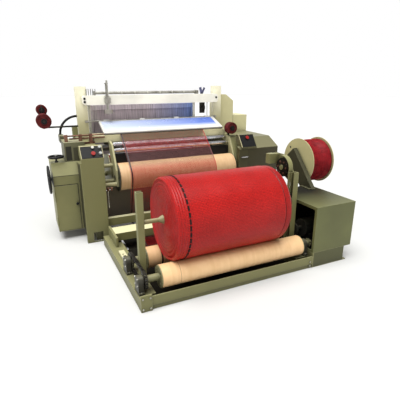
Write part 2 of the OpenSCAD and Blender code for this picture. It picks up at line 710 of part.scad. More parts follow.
// A handwheel about Z: rim, hub and three arms
module wheel(r, rim) {
    rotate_extrude() translate([r - rim, 0]) circle(rim);
    cylinder(h = 26, r = 22, center = true);
    for (a = [90, 210, 330]) rotate(a) translate([10, 0, 0]) rotate([0, 90, 0]) cylinder(h = r - rim - 12, r = 7);
}
module top_handwheel() color(dark) translate([top_wheel_x, top_wheel_y, 0]) {
    translate([0, 0, top_wheel_z]) wheel(top_wheel_r, 12);
    zrod(gear_top - 45, top_wheel_z, 0, 0, 10);
    zrod(gear_top + slide, gear_top + 14, 0, 0, 18);
    zrod(gear_top - 30, gear_top - sheet_t - slide, 0, 0, 22);
}
module side_handwheel() color(dark) translate([gear_l, side_wheel_y, side_wheel_z]) rotate([0, -90, 0]) {
    translate([0, 0, 34]) wheel(side_wheel_r, 11);
    translate([0, 0, -60]) cylinder(h = 94, r = 12);
    translate([0, 0, slide]) cylinder(h = 14, r1 = 80, r2 = 30);
    translate([0, 0, -36]) cylinder(h = 30, r = 34);
}

module upper_boxes() color(olive) {
    yprism(loom_f + 753, loom_f + 1053) polygon([
        [loom_r + 120, hood_top], [loom_r + 120, hood_top + 503], [loom_r + 215, hood_top + 503],
        [loom_r + 330, hood_top + 420], [loom_r + 330, hood_top]
    ]);
    bar([loom_r + 335, loom_f + 753, hood_top], [loom_r + 555, loom_f + 1053, hood_top + 225]);
}

// Gantry over the shed
module gantry_uprights() color(cream) for (x = [loom_l - frame_t, loom_r + frame_t - upright_w]) difference() {
    bar([x, upright_f, frame_h], [x + upright_w, upright_f + upright_d, gantry_h]);
    bar([x + 8, upright_f + 8, frame_h + 12], [x + upright_w - 8, upright_f + upright_d + 1, gantry_h - 8]);
}
guide_w = 30;
beam_l = loom_l - 45;
beam_rt = loom_r + 35;
beam_round = 32;
module gantry_beam() color(cream) {
    yprism(upright_f - beam_d, upright_f) {
        for (x = [beam_l + beam_round, beam_rt - beam_round], z = [beam_z + beam_round, beam_z + beam_h - beam_round])
            translate([x, z]) circle(beam_round);
        translate([beam_l + beam_round, beam_z]) square([beam_rt - beam_l - 2 * beam_round, beam_h]);
        translate([beam_l, beam_z + beam_round]) square([beam_rt - beam_l, beam_h - 2 * beam_round]);
    }
    for (s = [-1, 1]) {
        x0 = s < 0 ? heald_l - guide_w - 5 : heald_rt + 5;
        slot = s < 0 ? heald_l - 22 : heald_rt - 10;
        difference() {
            union() {
                bar([x0, upright_f - 0.5, beam_z], [x0 + guide_w, heald_y[1] + heald_d + 12, beam_z + 42]);
                bar([x0, heald_y[0] - 12, heald_z0 - 60], [x0 + guide_w, heald_y[1] + heald_d + 12, beam_z + 1]);
            }
            for (y = heald_y) bar([slot, y - slide, heald_z0 - 100], [slot + 32, y + heald_d + slide, beam_z + 60]);
        }
    }
}
module gantry_rods() color(steel) {
    y = upright_f + 50;
    xrod(loom_l + 95, loom_r - 245, y, tube_z, tube_r);
    for (x = [loom_l + 95, loom_r - 255])
        bar([x, upright_f - 50, beam_z + beam_h], [x + 10, y + 20, tube_z + 22]);
    xrod(loom_l - 20, loom_r + 20, hinge_y, hinge_z, hinge_r);
    for (x = [loom_l - 30, loom_r]) bar([x, hinge_y - 10, hinge_z - 12], [x + 30, upright_f, hinge_z + 12]);
    feeler_y = upright_f - beam_d;
    zrod(1290, 1667, loom_l + 232, feeler_y - 22, 11);
    bar([loom_l + 200, feeler_y - 40, beam_z + 20], [loom_l + 264, feeler_y, beam_z + 80]);
    bar([loom_l + 185, feeler_y - 42, 1300], [loom_l + 278, feeler_y - 4, 1345]);
}

// Take-up motion: breast beam, guide rollers, cover and brackets
function guard_under(y) = hinge_z - (hinge_y - y) * tan(guard_tilt) - guard_t / 2 / cos(guard_tilt);
module breast_beam() color(olive) {
    difference() {
        xprism(loom_l + 5, loom_r - 5) {
            polygon([
                [breast_f, breast_z0], [breast_f, breast_z1 - nose_r], [breast_f + nose_r, breast_z1],
                [breast_f + breast_d, breast_z1], [breast_f + breast_d, breast_z0]
            ]);
            translate([breast_f + nose_r, breast_z1 - nose_r]) circle(nose_r);
        }
        bar([loom_l + 4, breast_f + 12, breast_z0 - 1], [loom_r - 4, breast_f + breast_d - 10, breast_z1 - 28]);
    }
    for (x = [loom_l - 40, loom_r - 6]) bar([x, breast_f + 30, frame_h], [x + 46, breast_f + 110, frame_h + 60]);
    for (x = [guard_l + 8, guard_l + guard_w - 52]) xprism(x, x + 44) polygon([
        [breast_f + 30, breast_z1 - 1], [breast_f + 30, guard_under(breast_f + 30) - slide],
        [breast_f + 70, guard_under(breast_f + 70) - slide], [breast_f + 70, breast_z1 - 1]
    ]);
}
module guide_roller(y, z, r) {
    xrod(guide_l, guide_rt, y, z, r);
    xrod(guide_l - 25, guide_rt + 35, y, z, 10);
}
module upper_guide_roller() color(steel) guide_roller(upper_y, upper_z, upper_r);
module lower_guide_roller() color(steel) guide_roller(lower_y, lower_z, lower_r);
bracket_l = loom_l + 155;
bracket_r = loom_r - 20;
cover_f = lower_y - 18;
cover_z = take_up_z + sqrt(pow(take_up_r + 8, 2) - pow(cover_f - take_up_y, 2)) + 4;
module cover_bar() color(dark) bar([bracket_l + 20, cover_f, cover_z], [bracket_r, lower_y + 2, 896]);
module roller_brackets() color(cream) {
    for (x = [bracket_l, bracket_r]) xprism(x, x + 20) difference() {
        translate([loom_f, 0]) polygon([
            [100, 560], [100, 740], [245, 1000], [310, 1022], [375, 1022], [375, 950], [320, 800], [270, 560]
        ]);
        translate([upper_y, upper_z]) circle(10 + run);
        translate([lower_y, lower_z]) circle(10 + run);
        translate([take_up_y, take_up_z]) circle(25 + run);
    }
    for (p = [[115, 590], [240, 600], [255, 770]]) xrod(loom_l, bracket_l + 1, loom_f + p[0], p[1], 22);
}
module take_up_core() color(steel) difference() {
    union() {
        xrod(bracket_l - 4, bracket_r + 18, take_up_y, take_up_z, 25);
        xrod(take_up_l - 10, take_up_l, take_up_y, take_up_z, take_up_r + 8);
        xrod(take_up_rt, take_up_rt + 6, take_up_y, take_up_z, take_up_r - 2);
    }
    for (a = [0 : 60 : 300]) xrod(take_up_l - 20, take_up_rt + 10, take_up_y + 90 * cos(a), take_up_z + 90 * sin(a), 28);
}
module take_up_cover() color(cream) difference() {
    xrod(take_up_l, take_up_rt, take_up_y, take_up_z, take_up_r);
    xrod(take_up_l - 1, take_up_rt + 1, take_up_y, take_up_z, take_up_r - take_up_t);
}

// Hinged guard: X along the hinge, Y down the slope from the hinge, Z out of the pane
module on_guard() translate([0, hinge_y, hinge_z]) rotate([guard_tilt, 0, 0]) mirror([0, 1, 0]) children();
pane_l = guard_l + 25;
pane_r = guard_l + guard_w - 45;
pane_v0 = 30;
pane_v1 = guard_len - 80;
module guard_frame() color("ivory") on_guard() difference() {
    union() {
        bar([guard_l, 20, -guard_t / 2], [guard_l + guard_w, guard_len, guard_t / 2]);
        for (x = [guard_l + 60, guard_l + 500, guard_l + 950, guard_l + guard_w - 120]) {
            xrod(x, x + 60, 0, 0, hinge_r + 7);
            bar([x, 0, -4], [x + 60, 21, 4]);
        }
    }
    xrod(guard_l - 10, guard_l + guard_w + 10, 0, 0, hinge_r + run);
    bar([pane_l + 10, pane_v0 + 10, -20], [pane_r - 10, pane_v1 - 10, 20]);
    bar([pane_l, pane_v0, guard_t / 2 - 5], [pane_r, pane_v1, 20]);
}
module guard_pane() color("#7f9bd0", 0.5) on_guard()
    bar([pane_l + run, pane_v0 + run, guard_t / 2 - 5], [pane_r - run, pane_v1 - run, guard_t / 2]);

// Sley with its reed, and the two heald frames
module sley() color(steel) {
    x0 = mesh_l - 130;
    x1 = mesh_rt + 130;
    xrod(loom_l - 40, loom_r + 40, sley_y, sley_z, 20);
    xrod(loom_l + 5, loom_r - 5, sley_y, sley_z, 45);
    xprism(x0, x1) translate([sley_y, sley_z]) polygon([[-20, 30], [20, 30], [-30, 155], [-30, 160], [-70, 160], [-70, 120]]);
    bar([x0, sley_y - 60, sley_z + 250], [x1, sley_y - 40, sley_z + 265]);
    for (x = [x0, x1 - 20]) bar([x, sley_y - 60, sley_z + 159], [x + 20, sley_y - 40, sley_z + 251]);
    for (i = [0 : warp_ends]) bar([mesh_l + i * warp_pitch - 2, sley_y - 56, sley_z + 159],
        [mesh_l + i * warp_pitch + 2, sley_y - 44, sley_z + 251]);
}
module heald_frame(y) {
    x0 = heald_l - 18;
    x1 = heald_rt + 18;
    for (z = [heald_z0, heald_z1 - heald_rail]) bar([x0, y, z], [x1, y + heald_d, z + heald_rail]);
    for (x = [x0, x1 - 40]) bar([x, y, heald_z0], [x + 40, y + heald_d, heald_z1]);
    for (i = [0 : warp_ends]) bar([mesh_l + i * warp_pitch - 1.5, y + 12, heald_z0 + heald_rail - 1],
        [mesh_l + i * warp_pitch + 1.5, y + 16, heald_z1 - heald_rail + 1]);
}
module front_heald_frame() color("#8a90ad") heald_frame(heald_y[0]);
module rear_heald_frame() color("#8a90ad") heald_frame(heald_y[1]);

// Warp beam, back rest and the warp drawn forward to the fell
module warp_beam() color(olive) {
    xrod(loom_l - 40, loom_r + 40, warp_y, beam_axis_z, 30);
    xrod(mesh_l - 40, mesh_rt + 40, warp_y, beam_axis_z, 90);
    for (x = [mesh_l - 40, mesh_rt + 28]) xrod(x, x + 12, warp_y, beam_axis_z, flange_r);
}
module warp_yarn() color(red) difference() {
    xrod(mesh_l - 28, mesh_rt + 28, warp_y, beam_axis_z, warp_r);
    xrod(mesh_l - 30, mesh_rt + 30, warp_y, beam_axis_z, 90 + run);
}
module back_rest() color(steel) {
    xrod(loom_l + 40, loom_r - 40, rest_y, rest_z, rest_r);
    xrod(loom_l - 40, loom_r + 40, rest_y, rest_z, 20);
}
module warp_sheet() color(red) {
    t = 1.5;
    wheels = [[warp_y, beam_axis_z, warp_r + 1 + t / 2, 1], [rest_y, rest_z, warp_z - rest_z, 1]];
    difference() {
        xprism(mesh_l, mesh_rt)
            web_outline(wheels, leave(wheels, 0, 0) - 20, 90, t, tail = [[fell_y, warp_z]]);
        for (i = [0 : warp_ends]) bar([mesh_l + i * warp_pitch - 4, fell_y + 12, warp_z - 5],
            [mesh_l + i * warp_pitch + 4, heald_y[1] + heald_d + 60, warp_z + 5]);
    }
}

// Picking gear on the left, with its rods, hose and yarn packages
module picking_box() color(olive) {
    bar([cover_l - 108, loom_f + 313, gear_top], [loom_l - 115, loom_f + 613, gear_top + 200]);
    bar([cover_l - 115, loom_f + 612, gear_top + 160], [cover_l - 65, upright_f + upright_d, gear_top + 235]);
}
module weft_rods() color(copper) {
    y = breast_f - 20;
    for (x = [cover_l - 90, loom_l - 160]) bar([x, y - 14, gear_top + 200], [x + 34, y + 14, gear_top + 272]);
    bar([loom_l - 50, y - 14, frame_h], [loom_l - 16, y + 14, gear_top + 272]);
    xrod(cover_l - 100, loom_l + 118, y, gear_top + 258, 8);
    xrod(cover_l - 40, loom_l + 118, y, gear_top + 228, 8);
}
hose_z = gear_top + 235;
module cable_hose() color(dark) translate([loom_l - frame_t, upright_f + 44, hose_z]) rotate([90, 0, 0])
    rotate([0, 0, 90]) rotate_extrude(angle = 90) translate([200, 0]) circle(14);
module package_holders() color(steel) {
    x = loom_l - 475;
    y = upright_f + 12;
    xrod(x, loom_l - frame_t, y, 1165, 10);
    bar([x - 6, y - 12, 1150], [x + 6, y + 12, 1400]);
    yrod(y - 168, y, x, 1245, 12);
    yrod(y, y + 165, x, 1350, 12);
    bar([loom_r + 10, loom_f + 318, frame_h], [loom_r + 30, loom_f + 338, 1122]);
    yrod(loom_f + 216, loom_f + 319, loom_r + 20, 1101, 12);
}
module package(y0, y1, x, z, r) difference() {
    yrod(y0, y1, x, z, r);
    yrod(y0 - 1, y1 + 1, x, z, 12 + run);
}
module yarn_packages() color(red) {
    x = loom_l - 475;
    y = upright_f + 12;
    package(y - 162, y - 12, x, 1245, 78);
    package(y + 12, y + 158, x, 1350, 58);
    package(loom_f + 226, loom_f + 318, loom_r + 20, 1101, 72);
}

// Mesh web: over the breast beam, the guide and take-up rollers, the return bar and the rear winding roller
module mesh_web() color(red) {
    gap = roll_gap + mesh_t / 2;
    bar_wheel = [return_y, return_z, return_r + gap, -1];
    rear = [rear_y, roller_z, roller_r + gap, -1];
    loom_wheels = [
        [breast_f + nose_r, breast_z1 - nose_r, nose_r + gap, 1], [upper_y, upper_z, upper_r + gap, 1],
        [lower_y, lower_z, lower_r + gap, 1], [take_up_y, take_up_z, take_up_r + gap, 1], bar_wheel
    ];
    under = rear[1] - rear[2];
    y0 = return_y - 40;
    y1 = rear_y + 40;
    nip = atan2(roll_z - roller_z, roll_y - rear_y);
    xprism(mesh_l, mesh_rt)
        web_outline(loom_wheels, 90, 270, mesh_t, [[fell_y, warp_z]], [[y0, under]]);
    translate([0, 0, under - mesh_t / 2]) linear_extrude(mesh_t)
        polygon([[mesh_l, y0], [mesh_rt, y0], [roll_rt + net_spread, y1], [roll_l, y1]]);
    xprism(roll_l, roll_rt + net_spread)
        web_outline([rear], 270, nip + 17, mesh_t, [[y1, under]]);
}

front_rail();
left_rail();
right_rail();
cross_members();
guide_posts();
roller_bearings();
front_roller_core();
front_roller_cover();
rear_roller_core();
rear_roller_cover();
roller_chain();
roll_bushes();
roll_shaft();
cloth_roll();
drive_cabinet();
drive_motor();
lift_bracket();
lift_wheel();
spool_bracket();
yarn_spool();
spool_yarn();
side_frames();
left_end_cover();
right_cabinet();
control_plates();
start_button();
jog_button();
reverse_button();
stop_button();
right_stop_button();
gear_box();
gear_box_door();
top_handwheel();
side_handwheel();
upper_boxes();
gantry_uprights();
gantry_beam();
gantry_rods();
breast_beam();
upper_guide_roller();
lower_guide_roller();
cover_bar();
roller_brackets();
take_up_core();
take_up_cover();
guard_frame();
guard_pane();
sley();
front_heald_frame();
rear_heald_frame();
warp_beam();
warp_yarn();
back_rest();
warp_sheet();
picking_box();
weft_rods();
cable_hose();
package_holders();
yarn_packages();
mesh_web();
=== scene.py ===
import math

import bmesh
import bpy
import numpy as np
from mathutils import Matrix, Vector, noise


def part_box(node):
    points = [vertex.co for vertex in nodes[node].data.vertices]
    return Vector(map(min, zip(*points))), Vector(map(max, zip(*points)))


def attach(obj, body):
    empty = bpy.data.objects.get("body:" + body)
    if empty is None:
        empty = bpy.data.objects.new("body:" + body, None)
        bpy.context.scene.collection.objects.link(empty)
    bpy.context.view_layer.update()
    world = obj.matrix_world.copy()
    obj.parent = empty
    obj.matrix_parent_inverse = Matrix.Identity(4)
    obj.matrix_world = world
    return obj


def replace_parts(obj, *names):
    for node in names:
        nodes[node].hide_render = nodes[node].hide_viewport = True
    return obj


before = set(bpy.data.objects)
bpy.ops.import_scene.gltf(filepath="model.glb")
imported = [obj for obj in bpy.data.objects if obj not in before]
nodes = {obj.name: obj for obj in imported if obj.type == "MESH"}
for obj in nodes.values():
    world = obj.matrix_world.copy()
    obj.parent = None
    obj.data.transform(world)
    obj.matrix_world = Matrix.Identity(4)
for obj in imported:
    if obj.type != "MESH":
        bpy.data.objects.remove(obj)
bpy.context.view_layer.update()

# Winder base: channels, cross members and guide posts of rolled steel, welded up and sprayed with
# olive enamel. Edges rub pale, tops are dusty and painted lighter as top light, painted shade darkens the
# corners, and zinc bolts hold the feet.


def linear(code):
    srgb = [int(code[i:i + 2], 16) / 255 for i in (1, 3, 5)]
    return [c / 12.92 if c <= 0.04045 else ((c + 0.055) / 1.055) ** 2.4 for c in srgb] + [1.0]


def add(tree, kind, inputs=None, out=None, **settings):
    """Adds a node and gives its output; an input is a value, an sRGB hex colour or a socket to link."""
    node = tree.nodes.new(kind)
    for key, value in settings.items():
        setattr(node, key, value)
    for key, value in (inputs or {}).items():
        if isinstance(value, bpy.types.NodeSocket):
            tree.links.new(value, node.inputs[key])
        else:
            is_colour = isinstance(value, str) and value.startswith("#")
            node.inputs[key].default_value = linear(value) if is_colour else value
    ready = [socket for socket in node.outputs if socket.enabled]
    return node.outputs[out] if out else ready[0] if ready else None


def material_tree(name):
    material = bpy.data.materials.new(name)
    material.use_nodes = True
    material.node_tree.nodes.clear()
    return material, material.node_tree


def box_mask(tree, where, low, high):
    """1 inside a box given in millimetres and 0 outside it."""
    centre = [(a + b) / 2000 for a, b in zip(low, high)]
    half = [(b - a) / 2000 for a, b in zip(low, high)]
    away = add(tree, "ShaderNodeVectorMath", {0: where, 1: centre}, operation="SUBTRACT")
    share = add(tree, "ShaderNodeVectorMath", {0: away, 1: half}, operation="DIVIDE")
    share = add(tree, "ShaderNodeVectorMath", {0: share}, operation="ABSOLUTE")
    sides = [add(tree, "ShaderNodeSeparateXYZ", {0: share}, out=axis) for axis in "XYZ"]
    widest = add(tree, "ShaderNodeMath", {0: sides[0], 1: sides[1]}, operation="MAXIMUM")
    widest = add(tree, "ShaderNodeMath", {0: widest, 1: sides[2]}, operation="MAXIMUM")
    return add(tree, "ShaderNodeMath", {0: widest, 1: 1.0}, operation="LESS_THAN")


def enamel(name, colour, worn="#c9c49c", roughness=0.45, dust_and_top_light=0.15, upper=None, patches=(), round_marks=(),
           dusty="#b9b48e", shine=0.3):
    """Sprayed enamel: 4 mm orange peel, edges rubbed 3 mm wide, dirt splashed near the floor, dusty upward
    faces that are also painted top light, and painted shade darkening the corners by occlusion.

    upper is (colour, low, high), a fade by height in millimetres, used as painted top light; a patch is (low,
    high, colour, amount), a box of other colour; a round mark is (centre, radius, colour, amount), a soft
    round patch of colour.
    """
    material, tree = material_tree(name)
    where = add(tree, "ShaderNodeTexCoord", out="Object")
    height = add(tree, "ShaderNodeSeparateXYZ", {0: where}, out="Z")
    cloud = add(tree, "ShaderNodeTexNoise", {"Vector": where, "Scale": 3.2, "Detail": 5.0})
    base = colour
    if upper:
        fade = add(tree, "ShaderNodeMapRange",
                   {"Value": height, "From Min": upper[1] / 1000, "From Max": upper[2] / 1000})
        base = add(tree, "ShaderNodeMix", {"Factor": fade, "A": base, "B": upper[0]}, data_type="RGBA")
    uneven = add(tree, "ShaderNodeMapRange",
                 {"Value": cloud, "From Min": 0.3, "From Max": 0.7, "To Min": 0.88, "To Max": 1.12})
    base = add(tree, "ShaderNodeHueSaturation", {"Value": uneven, "Color": base})
    normal = add(tree, "ShaderNodeTexCoord", out="Normal")
    facing = add(tree, "ShaderNodeSeparateXYZ", {0: normal}, out="Z")
    # Upward faces turn towards the dusty colour, partly dusting and partly painted top light from overhead.
    dusty_and_lit_tops = add(tree, "ShaderNodeMapRange", {"Value": facing, "From Min": 0.5, "To Max": dust_and_top_light})
    coats = [(dusty_and_lit_tops, dusty)]
    for low, high, other, amount in patches:
        inside = box_mask(tree, where, low, high)
        inside = add(tree, "ShaderNodeMath", {0: inside, 1: amount}, operation="MULTIPLY")
        coats.append((inside, other))
    # Round marks are soft round patches of colour; the one on the drive cabinet is a painted shadow.
    for centre, radius, other, amount in round_marks:
        away = add(tree, "ShaderNodeVectorMath", {0: where, 1: Vector(centre) / 1000}, operation="DISTANCE")
        round_mark = add(tree, "ShaderNodeMapRange",
                     {"Value": away, "From Min": radius / 1000, "From Max": radius / 5000, "To Max": amount})
        coats.append((round_mark, other))
    splash = add(tree, "ShaderNodeMapRange",
                 {"Value": height, "From Max": 0.25, "To Min": 0.45, "To Max": 0.0})
    splash = add(tree, "ShaderNodeMath", {0: splash, 1: cloud}, operation="MULTIPLY")
    # Painted shade: faces with other parts close by, within 150 mm, are darkened towards near-black by
    # occlusion.
    corner = add(tree, "ShaderNodeAmbientOcclusion", {"Distance": 0.15}, out="AO", samples=4)
    corner_shade = add(tree, "ShaderNodeMapRange",
                {"Value": corner, "From Min": 0.75, "From Max": 0.2, "To Max": 0.75})
    rounded = add(tree, "ShaderNodeBevel", {"Radius": 0.003}, samples=4)
    flat = add(tree, "ShaderNodeNewGeometry", out="Normal")
    turn = add(tree, "ShaderNodeVectorMath", {0: rounded, 1: flat}, operation="DOT_PRODUCT")
    edge = add(tree, "ShaderNodeMapRange", {"Value": turn, "From Min": 0.97, "From Max": 0.86, "To Max": 0.9})
    chips = add(tree, "ShaderNodeTexNoise", {"Vector": where, "Scale": 45.0, "Detail": 3.0})
    rubbed = add(tree, "ShaderNodeMath", {0: edge, 1: chips}, operation="MULTIPLY")
    coats += [(splash, "#2a2820"), (corner_shade, "#23211a"), (rubbed, worn)]
    for share, other in coats:
        base = add(tree, "ShaderNodeMix", {"Factor": share, "A": base, "B": other}, data_type="RGBA")
    peel = add(tree, "ShaderNodeTexNoise", {"Vector": where, "Scale": 250.0})
    bump = add(tree, "ShaderNodeBump",
               {"Height": peel, "Strength": 0.1, "Distance": 0.0005, "Normal": rounded})
    dull = add(tree, "ShaderNodeMapRange",
               {"Value": cloud, "To Min": roughness - 0.08, "To Max": roughness + 0.14})
    shader = add(tree, "ShaderNodeBsdfPrincipled",
                 {"Base Color": base, "Normal": bump, "Specular IOR Level": shine, "Roughness": dull})
    add(tree, "ShaderNodeOutputMaterial", {"Surface": shader})
    return material


def dress(material, *names):
    for name in names:
        nodes[name].data.materials.clear()
        nodes[name].data.materials.append(material)


olive_paint = "#77754c"
olive = enamel("olive_enamel", olive_paint)
dress(olive, "front_rail", "guide_posts")
plinth = (832, -690, 8), (1300, 0, 152)
dress(enamel("right_rail_enamel", olive_paint, patches=[(*plinth, "#4a4b2d", 0.9)]), "right_rail")
pad = (-776, -74, 101), (-720, 200, 129)
pad_holes = [((-762, y - 16, 101), (-734, y + 16, 129), "#16150f", 0.95) for y in (-20, 60)]
dress(enamel("left_rail_enamel", olive_paint, patches=[(*pad, "#d6d0a8", 0.95), *pad_holes]), "left_rail")
# Painted shade and light: the cross members are painted near-black where they lie on the floor under the
# rollers and darker grey on the rear girt, for the shade inside the frame; their tops are dusty and painted
# pale as top light.
floor_shade_patch = (-690, -620, -5), (690, 500, 5)
girt = (-760, 1100, 130), (900, 1160, 530)
dress(enamel("cross_member_enamel", olive_paint, dust_and_top_light=0.8, dusty="#dcd7ae", shine=0.05,
             patches=[(*floor_shade_patch, "#12100c", 1.0), (*girt, "#6d665a", 0.95)]), "cross_members")


def make(name, mesh, material, body, smooth=40):
    mesh.materials.clear()
    mesh.materials.append(material)
    mesh.shade_smooth()
    mesh.set_sharp_from_angle(angle=math.radians(smooth))
    piece = bpy.data.objects.new(name, mesh)
    bpy.context.scene.collection.objects.link(piece)
    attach(piece, body)
    return piece


def bars(name, material, body, slot, *pieces):
    """Flat bars in millimetres, each (start, end, width, thickness, up), with edges broken 0.5 mm."""
    bm = bmesh.new()
    for start, end, width, thick, up in pieces:
        along = Vector(end) - Vector(start)
        side = along.cross(Vector(up)).normalized()
        rise = side.cross(along).normalized()
        corners = [bm.verts.new((Vector(start) + along * t + side * width * u + rise * thick * v) / 1000)
                   for t in (0, 1) for u in (-0.5, 0.5) for v in (-0.5, 0.5)]
        for face in ((0, 1, 3, 2), (4, 6, 7, 5), (0, 4, 5, 1), (2, 3, 7, 6), (0, 2, 6, 4), (1, 5, 7, 3)):
            bm.faces.new([corners[i] for i in face])
    bmesh.ops.recalc_face_normals(bm, faces=bm.faces)
    bmesh.ops.bevel(bm, geom=bm.edges[:], offset=0.0005, segments=1, affect="EDGES")
    mesh = bpy.data.meshes.new(name)
    bm.to_mesh(mesh)
    bm.free()
    return make(name, mesh, material, body, 30)


# Painted shade: a near-black sheet on the floor between the winder and the loom stands in for the shadow
# under the machine.
floor_shade_enamel = enamel("floor_shade_sheet_enamel", "#12100c", "#3a372c", 0.6, 0.0, shine=0.05)
shade_sheet_back, shade_sheet_reach, shade_sheet_w, shade_sheet_t = 439, 770, 1220, 3
bars("floor_shade_sheet", floor_shade_enamel, "machine", "dark_iron",
     ((0, shade_sheet_back, shade_sheet_t / 2), (0, shade_sheet_reach, shade_sheet_t / 2), shade_sheet_w, shade_sheet_t, (0, 0, 1)))
flange_x, flange_y, flange_w, flange_t = 746, -343, 28, 6
bars("post_back_flange", olive, "machine", "olive_paint",
     ((flange_x, flange_y, 112), (flange_x, flange_y, 848), flange_w, flange_t, (0, -1, 0)))


def metal(name, colour, roughness, stain, lines=400.0):
    """Turned or drawn metal: fine lathe lines across X, and oil that dulls it in patches about 60 mm wide."""
    material, tree = material_tree(name)
    where = add(tree, "ShaderNodeTexCoord", out="Object")
    across = add(tree, "ShaderNodeMapping", {"Vector": where, "Scale": (lines, 6.0, 6.0)})
    turned = add(tree, "ShaderNodeTexNoise", {"Vector": across, "Scale": 1.0, "Detail": 2.0})
    oil = add(tree, "ShaderNodeTexNoise", {"Vector": where, "Scale": 16.0, "Detail": 5.0})
    oily = add(tree, "ShaderNodeMapRange", {"Value": oil, "From Min": 0.45, "From Max": 0.75})
    base = add(tree, "ShaderNodeMix", {"Factor": oily, "A": colour, "B": stain}, data_type="RGBA")
    dull = add(tree, "ShaderNodeMapRange",
               {"Value": oil, "To Min": roughness * 0.7, "To Max": roughness * 1.5})
    rounded = add(tree, "ShaderNodeBevel", {"Radius": 0.002}, samples=4)
    bump = add(tree, "ShaderNodeBump",
               {"Height": turned, "Strength": 0.08, "Distance": 0.0003, "Normal": rounded})
    shader = add(tree, "ShaderNodeBsdfPrincipled",
                 {"Base Color": base, "Metallic": 1.0, "Roughness": dull, "Normal": bump})
    add(tree, "ShaderNodeOutputMaterial", {"Surface": shader})
    return material


def node_tree(name, inputs):
    tree = bpy.data.node_groups.new(name, "GeometryNodeTree")
    tree.interface.new_socket("Geometry", in_out="INPUT", socket_type="NodeSocketGeometry")
    for label, kind in inputs.items():
        tree.interface.new_socket(label, in_out="INPUT", socket_type="NodeSocket" + kind)
    tree.interface.new_socket("Geometry", in_out="OUTPUT", socket_type="NodeSocketGeometry")
    return tree, tree.nodes.new("NodeGroupInput").outputs, tree.nodes.new("NodeGroupOutput").inputs


def finish_tree(tree, shape, given, result):
    real = add(tree, "GeometryNodeRealizeInstances", {"Geometry": shape})
    painted = add(tree, "GeometryNodeSetMaterial", {"Geometry": real, "Material": given["Material"]})
    tree.links.new(painted, result["Geometry"])


def grow(name, tree, sizes, body, slot, points=((0, 0, 0),), facing=None, edges=()):
    """Runs a tree on points in millimetres, each facing one way, and keeps the result as a plain mesh."""
    mesh = bpy.data.meshes.new(name + "_points")
    mesh.from_pydata([Vector(p) / 1000 for p in points], edges, [])
    if facing:
        ways = mesh.attributes.new("facing", "FLOAT_VECTOR", "POINT")
        ways.data.foreach_set("vector", np.ravel(facing).astype(float))
    holder = bpy.data.objects.new(name + "_points", mesh)
    modifier = holder.modifiers.new(tree.name, "NODES")
    modifier.node_group = tree
    for item in tree.interface.items_tree:
        if item.in_out == "INPUT" and item.name in sizes:
            modifier[item.identifier] = sizes[item.name]
    bpy.context.scene.collection.objects.link(holder)
    grown = bpy.data.meshes.new_from_object(holder.evaluated_get(bpy.context.evaluated_depsgraph_get()))
    bpy.data.objects.remove(holder)
    grown.name = name
    return make(name, grown, sizes["Material"], body, 50)


studs, given, result = node_tree("studs", {"Sides": "Int", "Radius": "Float", "Depth": "Float",
                                           "Material": "Material"})
head = add(studs, "GeometryNodeMeshCylinder",
           {"Vertices": given["Sides"], "Radius": given["Radius"], "Depth": given["Depth"]})
aim = add(studs, "GeometryNodeInputNamedAttribute", {"Name": "facing"}, data_type="FLOAT_VECTOR")
turn = add(studs, "FunctionNodeAlignRotationToVector", {"Vector": aim}, axis="Z")
placed = add(studs, "GeometryNodeInstanceOnPoints",
             {"Points": given["Geometry"], "Instance": head, "Rotation": turn})
finish_tree(studs, placed, given, result)

front_y, rear_y, roller_z, roller_r = -549.8, -194.2, 198.0, 92.0
zinc = metal("zinc_bolts", "#a9a79c", 0.35, "#5d5a50")
bolts = [((x, y, 110), (0, 0, 1)) for x in (-726, -692, 770, 803) for y in (-408, -336)]
bolts += [((x, y + s, 121), (0, 0, 1)) for x in (-790, 790) for y in (front_y, rear_y) for s in (-54.5, 54.5)]
bolts += [((792, -673, z), (0, -1, 0)) for z in (28, 66)]
bolts += [((x, -681, z), (0, -1, 0)) for x in (-806, -746) for z in (24, 112)]
grow("base_bolts", studs, {"Sides": 6, "Radius": 0.0085, "Depth": 0.009, "Material": zinc},
     "machine", "bare_steel", *zip(*bolts))

# Winding rollers: steel tubes on stub shafts, covered with cream rubber ground to size, in cast
# pillow blocks. A greased roller chain on the left drives the rear roller from the front one.


def rubber(name, colour, dark, seam=None):
    """Ground rubber: dull, with faint rings from the grinder 25 mm apart and scuffs 70 mm long.

    seam is the place in millimetres along X of a joint in the cover.
    """
    material, tree = material_tree(name)
    where = add(tree, "ShaderNodeTexCoord", out="Object")
    rings = add(tree, "ShaderNodeMapping", {"Vector": where, "Scale": (40.0, 1.0, 1.0)})
    lines = add(tree, "ShaderNodeTexNoise", {"Vector": rings, "Scale": 1.0, "Detail": 2.0})
    scuffs = add(tree, "ShaderNodeTexNoise", {"Vector": where, "Scale": 14.0, "Detail": 5.0})
    both = add(tree, "ShaderNodeMath", {0: lines, 1: scuffs}, operation="MULTIPLY")
    pale = add(tree, "ShaderNodeMapRange", {"Value": both, "From Min": 0.1, "From Max": 0.35, "To Min": 0.45})
    base = add(tree, "ShaderNodeMix", {"Factor": pale, "A": dark, "B": colour}, data_type="RGBA")
    if seam is not None:
        half_seam, far = 1.3, 3000
        joint = box_mask(tree, where, (seam - half_seam, -far, 0), (seam + half_seam, far, far))
        base = add(tree, "ShaderNodeMix", {"Factor": joint, "A": base, "B": "#6e5236"}, data_type="RGBA")
    bump = add(tree, "ShaderNodeBump", {"Height": scuffs, "Strength": 0.1, "Distance": 0.0006})
    shader = add(tree, "ShaderNodeBsdfPrincipled", {"Base Color": base, "Roughness": 0.5, "Normal": bump})
    add(tree, "ShaderNodeOutputMaterial", {"Surface": shader})
    return material


